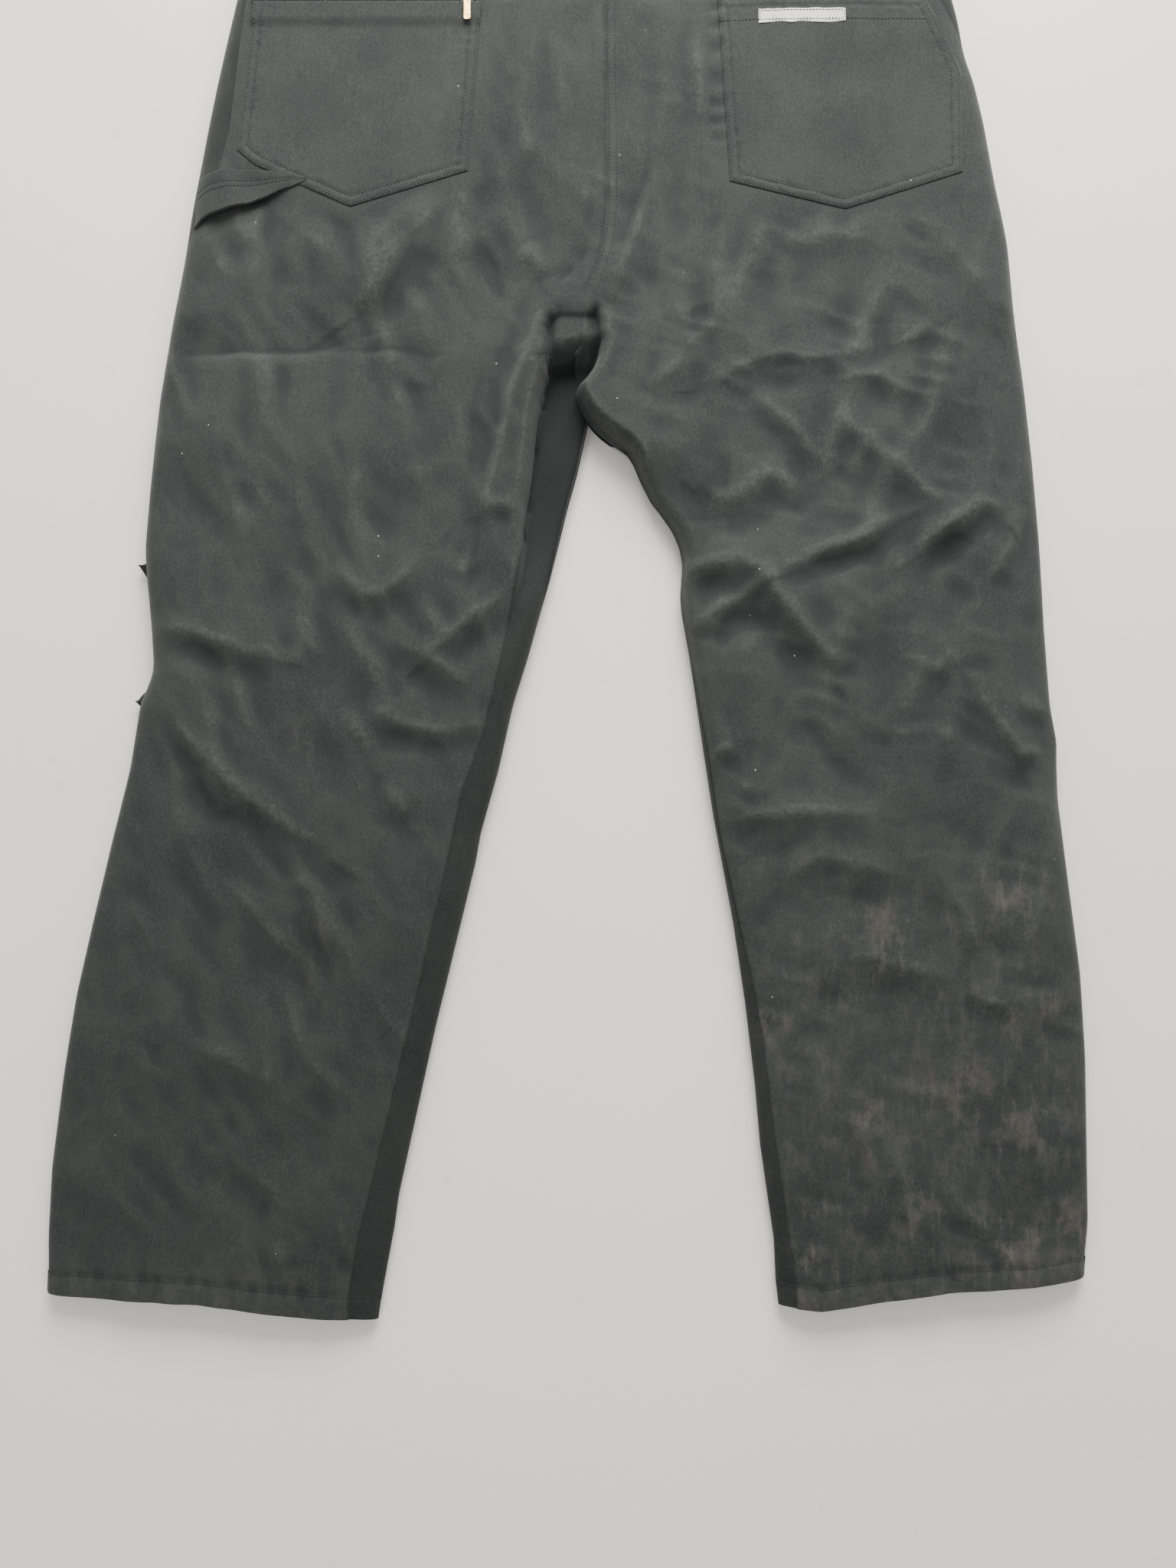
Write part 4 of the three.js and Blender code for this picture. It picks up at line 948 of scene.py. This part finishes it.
def instance_tree(name, inputs, build):
    """A Geometry Nodes tree with a geometry input, named inputs and a geometry output."""
    tree = bpy.data.node_groups.new(name, "GeometryNodeTree")
    tree.interface.new_socket("Geometry", in_out="INPUT", socket_type="NodeSocketGeometry")
    for label, kind, value in inputs:
        socket = tree.interface.new_socket(label, in_out="INPUT", socket_type=kind)
        if value is not None:
            socket.default_value = value
    tree.interface.new_socket("Geometry", in_out="OUTPUT", socket_type="NodeSocketGeometry")
    entry, leave = tree.nodes.new("NodeGroupInput"), tree.nodes.new("NodeGroupOutput")
    made = build(tree, entry.outputs)
    real = node(tree, "GeometryNodeRealizeInstances", {0: made})
    painted = node(tree, "GeometryNodeSetMaterial", {0: real.outputs[0], "Material": entry.outputs["Finish"]})
    tree.links.new(painted.outputs[0], leave.inputs[0])
    return tree


def marked(tree, given):
    """Points along the given lines, one pitch apart."""
    curve = node(tree, "GeometryNodeMeshToCurve", {0: given["Geometry"]})
    lengths = {0: curve.outputs[0], "Length": given["Pitch"]}
    return node(tree, "GeometryNodeResampleCurve", lengths, mode="LENGTH")


def stitch_parts(tree, given):
    marks = marked(tree, given)
    ball = node(tree, "GeometryNodeMeshUVSphere", {"Segments": 6, "Rings": 4, "Radius": 0.5})
    thick = given["Thickness"]
    size = node(tree, "ShaderNodeCombineXYZ", {0: given["Length"], 1: thick, 2: thick})
    shape = node(tree, "GeometryNodeTransform", {0: ball.outputs[0], "Scale": size.outputs[0]})
    ahead = node(tree, "GeometryNodeInputTangent")
    turn = node(tree, "FunctionNodeAlignRotationToVector", {"Vector": ahead.outputs[0]}, axis="X")
    return node(tree, "GeometryNodeInstanceOnPoints", {0: marks.outputs[0], "Instance": shape.outputs[0],
                                                       "Rotation": turn.outputs[0]}).outputs[0]


stitch_tree = instance_tree("lockstitch", [("Pitch", "NodeSocketFloat", STITCH_PITCH),
                                           ("Length", "NodeSocketFloat", STITCH_LENGTH),
                                           ("Thickness", "NodeSocketFloat", STITCH_THICKNESS),
                                           ("Finish", "NodeSocketMaterial", None)], stitch_parts)

sewing_thread, shader = material("sewing_thread")
colour = mixed(sewing_thread, noise(sewing_thread, placed(sewing_thread, (300, 300, 300)), 1.0, 2),
               (0.010, 0.012, 0.012, 1), (0.030, 0.033, 0.031, 1))
sewing_thread.node_tree.links.new(colour, shader.inputs["Base Color"])
shader.inputs["Roughness"].default_value = 0.6
strands = noise(sewing_thread, placed(sewing_thread, (2500, 2500, 2500)), 1.0, 1)
bumped(sewing_thread, shader, strands, 0.3, 0.0001)


def grown(name, tree, lines, values, body="pants"):
    """Runs a tree over lines of points (metres) and keeps the result as one plain mesh."""
    points, edges = [], []
    for line in lines:
        edges += [(len(points) + k, len(points) + k + 1) for k in range(len(line) - 1)]
        points += [tuple(p) for p in line]
    mesh = bpy.data.meshes.new(f"{name}_path")
    mesh.from_pydata(points, edges, [])
    path = bpy.data.objects.new(f"{name}_path", mesh)
    bpy.context.scene.collection.objects.link(path)
    grower = path.modifiers.new("grow", "NODES")
    grower.node_group = tree
    keys = {item.name: item.identifier for item in tree.interface.items_tree if item.in_out == "INPUT"}
    for label, value in values.items():
        grower[keys[label]] = value
    path.update_tag()
    seen = path.evaluated_get(bpy.context.evaluated_depsgraph_get())
    result = bpy.data.meshes.new_from_object(seen)
    path.modifiers.remove(grower)
    bpy.data.objects.remove(path)
    result.name = name
    piece = bpy.data.objects.new(name, result)
    bpy.context.scene.collection.objects.link(piece)
    result.polygons.foreach_set("use_smooth", np.ones(len(result.polygons), bool))
    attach(piece, body)
    return piece


def sewn(name, lines, pitch=STITCH_PITCH):
    piece = grown(name, stitch_tree, lines, {"Pitch": pitch, "Length": STITCH_LENGTH,
                                             "Thickness": STITCH_THICKNESS, "Finish": sewing_thread})
    return piece


def laid_on(side, points, lift=0.15, extra=None):
    """A line on the cloth through plan points, in metres."""
    p = np.array(points, float)
    length = np.concatenate([[0], np.cumsum(np.hypot(*np.diff(p, axis=0).T))])
    at = np.linspace(0, length[-1], max(2, int(length[-1] / 2)))
    x, y = np.interp(at, length, p[:, 0]), np.interp(at, length, p[:, 1])
    z = top_of(side, x, y) if extra is None else extra(x, y)
    return in_frame(x, y, z + lift)


hem_runs = []
for side, low, high in ((-1, left_side, left_inside), (1, right_inside, right_side)):
    x = np.linspace(float(low(20)) + 2, float(high(20)) - 2, 150)
    y = HEM_DEPTH + hem_shift(x, HEM_DEPTH)
    v = np.full(x.shape, float(HEM_DEPTH))
    hem_runs.append(in_frame(x, y, hemmed(x, top_of(side, x, y), v) + 0.75))
sewn("hem_stitching", hem_runs)
seat_y = np.linspace(BAND_SEAM - 3, 826, 150)
seat_x = smoothed(SEAT_SEAM, 3)(seat_y)
sewn("seat_seam_stitching", [in_frame(seat_x + off, seat_y, top_of(1, seat_x + off, seat_y) + 0.2)
                             for off in (2.6, 8.6)])

# ---------------------------------------------------------------------------
# Back pockets: twill patches with a point at the bottom, edges turned under
# and double stitched. The left one is closed by a zip across its mouth, and
# the right one is open, with a hemmed mouth that stands a little off the seat.
# ---------------------------------------------------------------------------
POCKET_LIFT = 1.3
MOUTH_Y = LEFT_POCKET[0][1]


TAPE_EDGE = 1000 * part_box("back_zip_tape_lower")[0].y - UP
TEETH_EDGE = 1000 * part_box("back_zip_slider")[0].y - UP


def pocket_top(side):
    outline = LEFT_POCKET if side < 0 else RIGHT_POCKET
    closed = outline + outline[:1]

    def height(x, y):
        edge = to_line(x, y, closed)[0]
        edge = np.where(inside(x, y, outline), edge, 0)
        z = top_of(side, x, y) + POCKET_LIFT
        z = z + 0.2 * bump(edge - 4.5, 3) - 0.5 * bump(edge - 8.2, 1.6)
        z = z - 0.35 * bump(edge - 2.2, 0.9) - 0.8 * bump(edge, 0.8)
        z = z + 0.32 * bump(edge - 8, 7) * unevenness(x, y, 4.2, 27) * 1.6
        broad, fine = unevenness(x, y, 44, 21 + side), unevenness(x, y, 13, 23 + side, 1.8)
        z = z + swell(edge / 40) * (0.8 * broad + 0.3 * fine)
        if side > 0:
            from_sides = np.minimum(x - closed[4][0], closed[1][0] - x)
            z = z + 3.4 * ease(MOUTH_Y - 75, MOUTH_Y, y) * swell(from_sides / 60)
        else:
            z = z + (49.4 - z) * ease(TAPE_EDGE - 12, TAPE_EDGE - 3, y)
        return z
    return height


def pocket_grid(side, count_x=96, count_y=88):
    """Grid over the patch: straight down from the mouth to the lower edge."""
    outline = LEFT_POCKET if side < 0 else RIGHT_POCKET
    corners = outline if side < 0 else outline[::-1]
    a, b, c, d, e, f = [np.array(p, float) for p in corners]
    t = spread(count_x, 0.5)
    s = spread(count_y, 0.5)[:, None]
    shares, bottom = ([0, 0.09, 0.47, 1], [b, c, d, e]) if side < 0 else ([0, 0.50, 1], [b, c, d])
    bottom_x, bottom_y = (np.interp(t, shares, [p[k] for p in bottom]) for k in (0, 1))
    mouth_y = a[1] if side > 0 else TEETH_EDGE - 0.4
    x = (a[0] + (f[0] - a[0]) * t)[None] * (1 - s) + bottom_x[None] * s
    y = mouth_y * (1 - s) + bottom_y[None] * s
    if side > 0:
        bulge = e[0] - (f[0] + (d[0] - f[0]) * 0.38)
        x = x + bulge * t[None] ** 3 * np.sin(np.pi * s)
    return x[::-1], y[::-1]


def bordered(outline, inset):
    """The outline drawn in by inset mm, open across the mouth."""
    p = np.array(outline, float)
    centre = p.mean(0)
    out = []
    for k in range(len(p)):
        before, here, after = p[k - 1], p[k], p[(k + 1) % len(p)]
        n = []
        for u, w in ((before, here), (here, after)):
            d = (w - u) / np.hypot(*(w - u))
            m = np.array([-d[1], d[0]])
            n.append(m if np.dot(centre - (u + w) / 2, m) > 0 else -m)
        m = n[0] + n[1]
        out.append(here + m * inset / max(0.35, np.dot(m, n[0])))
    return [tuple(q) for q in out]


pocket_twill = twill("twill_pockets", 1.03, 0.35, 0.02)
for side in (-1, 1):
    name = "back_pocket_left" if side < 0 else "back_pocket_right"
    height = pocket_top(side)
    x, y = pocket_grid(side)
    z = height(x, y)
    cloth = Cloth()
    # Wear on the patch's crests and milder painted shade in its furrows.
    cloth.grid(x, y, z, np.clip(wear_and_shade_map(z), 0.2, 0.8) * 0.7 + 0.15, 0.05)
    piece = carried(thickened(cloth.made(f"{name}_patch", pocket_twill), "thickness", 0.0011), name)
    outline = LEFT_POCKET if side < 0 else RIGHT_POCKET
    runs = []
    for inset in (2.2, 8.2):
        line = [(x, min(y, TEETH_EDGE - 3) if side < 0 else y) for x, y in bordered(outline, inset)]
        runs.append(laid_on(side, line, 0.25, height))
    if side > 0:
        mouth_hem = [(outline[0][0] - 2, MOUTH_Y - 20), (outline[-1][0] + 2, MOUTH_Y - 20)]
        runs.append(laid_on(side, mouth_hem, 0.25, height))
    sewn(f"{name}_stitching", runs)

# ---------------------------------------------------------------------------
# Metal and small CAD parts with true shapes: their edges are eased a little,
# as a die or a punch leaves them, and they keep their own bodies.
# ---------------------------------------------------------------------------
def eased(cad, name, finish, body="pants", bevel=0.0002):
    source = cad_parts[cad]
    mesh = source.data.copy()
    shape = bmesh.new()
    shape.from_mesh(mesh)
    bmesh.ops.transform(shape, matrix=source.matrix_world, verts=shape.verts)
    bmesh.ops.remove_doubles(shape, verts=shape.verts, dist=0.00001)
    bmesh.ops.dissolve_limit(shape, angle_limit=0.02, verts=shape.verts, edges=shape.edges)
    shape.to_mesh(mesh)
    shape.free()
    mesh.materials.clear()
    mesh.materials.append(finish)
    piece = bpy.data.objects.new(name, mesh)
    bpy.context.scene.collection.objects.link(piece)
    edge = piece.modifiers.new("eased_edges", "BEVEL")
    edge.width = bevel
    edge.segments = 2
    edge.limit_method = "ANGLE"
    edge.angle_limit = math.radians(35)
    return carried(piece, cad, body)


def metal(name, colour, tarnish, rough):
    made, shader = material(name)
    where = placed(made, (1, 1, 1))
    stain = ramp(made, noise(made, where, 420, 5, 0.65), 0.45, 0.7)
    dulled = mixed(made, times(made, stain, 0.6), colour, tarnish)
    made.node_tree.links.new(dulled, shader.inputs["Base Color"])
    made.node_tree.links.new(ramp(made, stain, 0, 1, rough, rough + 0.25), shader.inputs["Roughness"])
    shader.inputs["Metallic"].default_value = 1.0
    bumped(made, shader, noise(made, placed(made, (3000, 500, 3000)), 1.0, 2), 0.15, 0.00004)
    return made


nickel = metal("worn_nickel_silver", (0.58, 0.56, 0.50, 1), (0.22, 0.20, 0.17, 1), 0.32)
brass = metal("worn_brass", (0.72, 0.47, 0.15, 1), (0.36, 0.24, 0.10, 1), 0.30)

# ---------------------------------------------------------------------------
# Back pocket zip: two woven tapes, two rows of metal teeth, two end stops, a
# slider and its long brass pull. The slider runs along the teeth.
# ---------------------------------------------------------------------------
TOOTH_PITCH = 0.0017
TOOTH_LENGTH = 0.0011
END_GAP = 0.0008


def tooth_parts(tree, given):
    marks = marked(tree, given)
    corners = {f"Vertices {axis}": 2 for axis in "XYZ"}
    body = node(tree, "GeometryNodeMeshCube", {"Size": given["Tooth"], **corners})
    soft = node(tree, "GeometryNodeSubdivisionSurface", {0: body.outputs[0], "Level": 1, "Edge Crease": 0.55})
    placing = {0: marks.outputs[0], "Instance": soft.outputs[0]}
    return node(tree, "GeometryNodeInstanceOnPoints", placing).outputs[0]


tooth_tree = instance_tree("zip_teeth", [("Pitch", "NodeSocketFloat", TOOTH_PITCH),
                                         ("Tooth", "NodeSocketVector", None),
                                         ("Finish", "NodeSocketMaterial", None)], tooth_parts)

tape_cloth, shader = material("zip_tape_weave")
rib = node(tape_cloth, "ShaderNodeTexWave", {"Vector": placed(tape_cloth, (1, 1, 1)), "Scale": 420},
           bands_direction="X").outputs["Fac"]
fine = noise(tape_cloth, placed(tape_cloth, (400, 400, 400)), 1.0, 2)
colour = mixed(tape_cloth, fine, (0.015, 0.017, 0.018, 1), (0.045, 0.048, 0.048, 1))
tape_cloth.node_tree.links.new(colour, shader.inputs["Base Color"])
shader.inputs["Roughness"].default_value = 0.95
shader.inputs["Specular IOR Level"].default_value = 0.1
bumped(tape_cloth, shader, rib, 0.4, 0.0002)


def teeth(cad, name, along_x):
    low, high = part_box(cad)
    y, z = (low.y + high.y) / 2, (low.z + high.z) / 2
    x = (low.x + high.x) / 2
    if along_x:
        line = [(low.x + END_GAP, y, z), (high.x - END_GAP, y, z)]
        size = (TOOTH_LENGTH, high.y - low.y, high.z - low.z)
    else:
        line = [(x, low.y + END_GAP, z), (x, high.y - END_GAP, z)]
        size = (high.x - low.x, TOOTH_LENGTH, high.z - low.z)
    piece = grown(name, tooth_tree, [line], {"Pitch": TOOTH_PITCH, "Tooth": size, "Finish": nickel})
    piece.data.polygons.foreach_set("use_smooth", np.zeros(len(piece.data.polygons), bool))
    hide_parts(cad)


for row in ("upper", "lower"):
    teeth(f"back_zip_teeth_{row}", f"back_zip_teeth_{row}_row", True)
    piece = eased(f"back_zip_tape_{row}", f"back_zip_tape_{row}_woven", tape_cloth, bevel=0.00015)
for stop in ("end", "start"):
    eased(f"back_zip_{stop}_stop", f"back_zip_{stop}_stop_clip", nickel, bevel=0.0003)
eased("back_zip_slider", "back_zip_slider_body", nickel, "back_slider", 0.0002)
eased("back_zip_pull", "back_zip_pull_tag", brass, "back_pull", 0.0002)

# ---------------------------------------------------------------------------
# Label: a blank woven tape, off-white, stitched on at the open pocket's mouth.
# ---------------------------------------------------------------------------
label_low, label_high = (1000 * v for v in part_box("label_tape"))
lx = np.linspace(label_low.x - ACROSS, label_high.x - ACROSS, 90)
ly = np.linspace(0, 1, 14)
s, x = np.meshgrid(ly, lx, indexing="ij")
LABEL_DROP = 6.5
frayed = 0.6 * (1 - s) * (1 + np.sin(x / 4.3 + np.sin(x / 9)))
y = label_low.y - UP - LABEL_DROP - frayed + s * (label_high.y - label_low.y + 1)
right_height = pocket_top(1)
z = right_height(x, y) + 0.5 + 0.25 * np.sin(x / 3.7) * (1 - s)
label = Cloth()
label.grid(x, y, z)
woven, shader = material("label_weave")
fine = noise(woven, placed(woven, (1400, 260, 900)), 1.0, 2)
colour = mixed(woven, fine, (0.62, 0.61, 0.56, 1), (0.86, 0.85, 0.80, 1))
grime = ramp(woven, noise(woven, placed(woven, (1, 1, 1)), 60, 4), 0.5, 0.75, 0, 0.4)
colour = mixed(woven, grime, colour, (0.42, 0.40, 0.35, 1))
woven.node_tree.links.new(colour, shader.inputs["Base Color"])
shader.inputs["Roughness"].default_value = 0.8
bumped(woven, shader, fine, 0.35, 0.0002)
piece = carried(thickened(label.made("label_tape_blank", woven), "thickness", 0.0005), "label_tape")
low_run, high_run = label_low.y - UP - LABEL_DROP + 1.6, label_high.y - UP - LABEL_DROP - 0.4
start, end = lx[0] + 1, lx[-1] - 1
inner_label = [(start, low_run), (end, low_run), (end, high_run), (start, high_run), (start, low_run)]
sewn("label_stitching", [laid_on(1, inner_label, 0.75, right_height)], 0.0026)

# ---------------------------------------------------------------------------
# Hammer loop: a folded twill strap at the left hip, caught in the outseam and
# under the pocket's corner. Its middle stands off the leg.
# ---------------------------------------------------------------------------
LOOP_TOP = [(-324, 917), (-311, 921), (-292, 923), (-272, 923), (-246, 921), (-232, 917)]
LOOP_BOTTOM = [(-325, 876), (-312, 883), (-300, 886), (-279, 893), (-255, 906), (-233, 915)]
LOOP_ROWS = (0.56, 0.72)
strap_twill = twill("twill_loop", 0.98, 0.5, 1.3)
share = np.linspace(0, 1, 70)
width = spread(26, 0.3)
top_line = np.array([np.interp(share, np.linspace(0, 1, 6), np.array(LOOP_TOP)[:, k]) for k in (0, 1)])
low_line = np.array([np.interp(share, np.linspace(0, 1, 6), np.array(LOOP_BOTTOM)[:, k]) for k in (0, 1)])
t, w = np.meshgrid(width, share, indexing="ij")
x = low_line[0][None] * (1 - t) + top_line[0][None] * t
y = low_line[1][None] * (1 - t) + top_line[1][None] * t
base = top_of(-1, x, y)
arch = np.sin(np.pi * np.clip((w - 0.02) / 0.86, 0, 1)) ** 0.8
z = base + 1.6 + 7.0 * arch * (0.35 + 0.65 * (1 - t))
for row in LOOP_ROWS:
    z = z - 0.45 * bump(30 * (t - row), 1.3)
z = np.minimum(z, 56.5) + 0.35 * unevenness(x, y, 14, 31)
strap = Cloth()
strap.grid(x, y, z, 0.5 + 0.2 * bump(np.minimum(t, 1 - t), 0.06), 0.05)
piece = thickened(strap.made("hammer_loop_strap", strap_twill), "thickness", 0.0021)
carried(piece, "hammer_loop")
loop_runs = []
for row in LOOP_ROWS:
    k = int(np.argmin(np.abs(width - row)))
    loop_runs.append(in_frame(x[k, 3:58], y[k, 3:58], z[k, 3:58] + 0.3))
sewn("hammer_loop_stitching", loop_runs)

# ---------------------------------------------------------------------------
# Knee patches: a second layer of twill sewn on the fronts at the knee. The
# left one's outer corners have come round and stick out at the outseam.
# ---------------------------------------------------------------------------
patch_twill = twill("twill_knee_patch", 0.55, 0.8, 0.0)
for side in (-1, 1):
    name = "knee_patch_left" if side < 0 else "knee_patch_right"
    low, high = (1000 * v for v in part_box(name))
    x0, x1, y0, y1 = low.x - ACROSS, high.x - ACROSS, low.y - UP, high.y - UP
    t, s = np.meshgrid(np.linspace(0, 1, 60), np.linspace(0, 1, 40), indexing="ij")
    x, y = x0 + (x1 - x0) * t, y0 + (y1 - y0) * s
    z = 0.45 + 0.25 * np.abs(unevenness(x, y, 20, 41))
    cloth = Cloth()
    cloth.grid(x.T, y.T, z.T, 0.5, 0.6, over=True)
    if side < 0:
        for tip_x, tip_y, up, down in ((-372, 601, 7, 17), (-371, 487, 14, 8)):
            root = float(left_side(tip_y - 4)) + 7
            t, s = np.meshgrid(np.linspace(0, 1, 10), np.linspace(-1, 1, 14), indexing="ij")
            wide = np.where(s > 0, up, down) * (1 - t ** 1.3)
            fx = root + (tip_x - root) * t
            fy = tip_y + s * wide - 3 * (1 - t)
            fz = 7.5 + 2.2 * np.sin(3 * s + 2 * t) * t + 1.5 * t
            cloth.grid(fx.T[:, ::-1], fy.T[:, ::-1], fz.T[:, ::-1], 0.55, 0.3)
    piece = thickened(cloth.made(f"{name}_cloth", patch_twill), "thickness", 0.0009, 0)
    carried(piece, name)

# ---------------------------------------------------------------------------
# Fly: zip tapes, teeth, stops, slider and pull in the fold of the front, and
# above it the waist tab with its snap: a cap outside and a stud inside.
# ---------------------------------------------------------------------------
for row in ("upper", "lower"):
    teeth(f"fly_teeth_{row}", f"fly_teeth_{row}_row", False)
    eased(f"fly_tape_{row}", f"fly_tape_{row}_woven", tape_cloth, bevel=0.00015)
for stop in ("end", "start"):
    eased(f"fly_{stop}_stop", f"fly_{stop}_stop_clip", nickel, bevel=0.0003)
eased("fly_slider", "fly_slider_body", nickel, "fly_slide_body", 0.0002)
eased("fly_pull", "fly_pull_tag", brass, "fly_pull_body", 0.0002)
eased("waist_tab", "waist_tab_cloth", shaded_front_twill, bevel=0.0004)
eased("waist_snap_cap", "waist_snap_cap_dome", nickel, bevel=0.0003)
eased("waist_snap_stud", "waist_snap_stud_post", nickel, bevel=0.0002)

# ---------------------------------------------------------------------------
# Front pocket bags: plain pocket cloth, flat inside the front panels.
# ---------------------------------------------------------------------------
pocketing, shader = material("pocket_cloth")
thread = noise(pocketing, placed(pocketing, (900, 900, 400)), 1.0, 2)
colour = mixed(pocketing, thread, (0.03, 0.03, 0.03, 1), (0.075, 0.074, 0.07, 1))
pocketing.node_tree.links.new(colour, shader.inputs["Base Color"])
shader.inputs["Roughness"].default_value = 0.9
bumped(pocketing, shader, thread, 0.3, 0.0002)
for side in ("left", "right"):
    low, high = (1000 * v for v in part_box(f"front_pocket_bag_{side}"))
    t, s = np.meshgrid(np.linspace(0, 1, 50), np.linspace(0, 1, 40), indexing="ij")
    y = low.y - UP + (high.y - low.y) * t
    half_width = (high.x - low.x) / 2 * (1 - 0.18 * (1 - swell(t / 0.25)))
    x = (low.x + high.x) / 2 - ACROSS + (2 * s - 1) * half_width
    bag = Cloth()
    bag.grid(x, y, 2.1 + 0.3 * unevenness(x, y, 25, 51))
    piece = thickened(bag.made(f"front_pocket_bag_{side}_cloth", pocketing), "thickness", 0.0006, 0)
    carried(piece, f"front_pocket_bag_{side}")

[list(corner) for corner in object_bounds()]
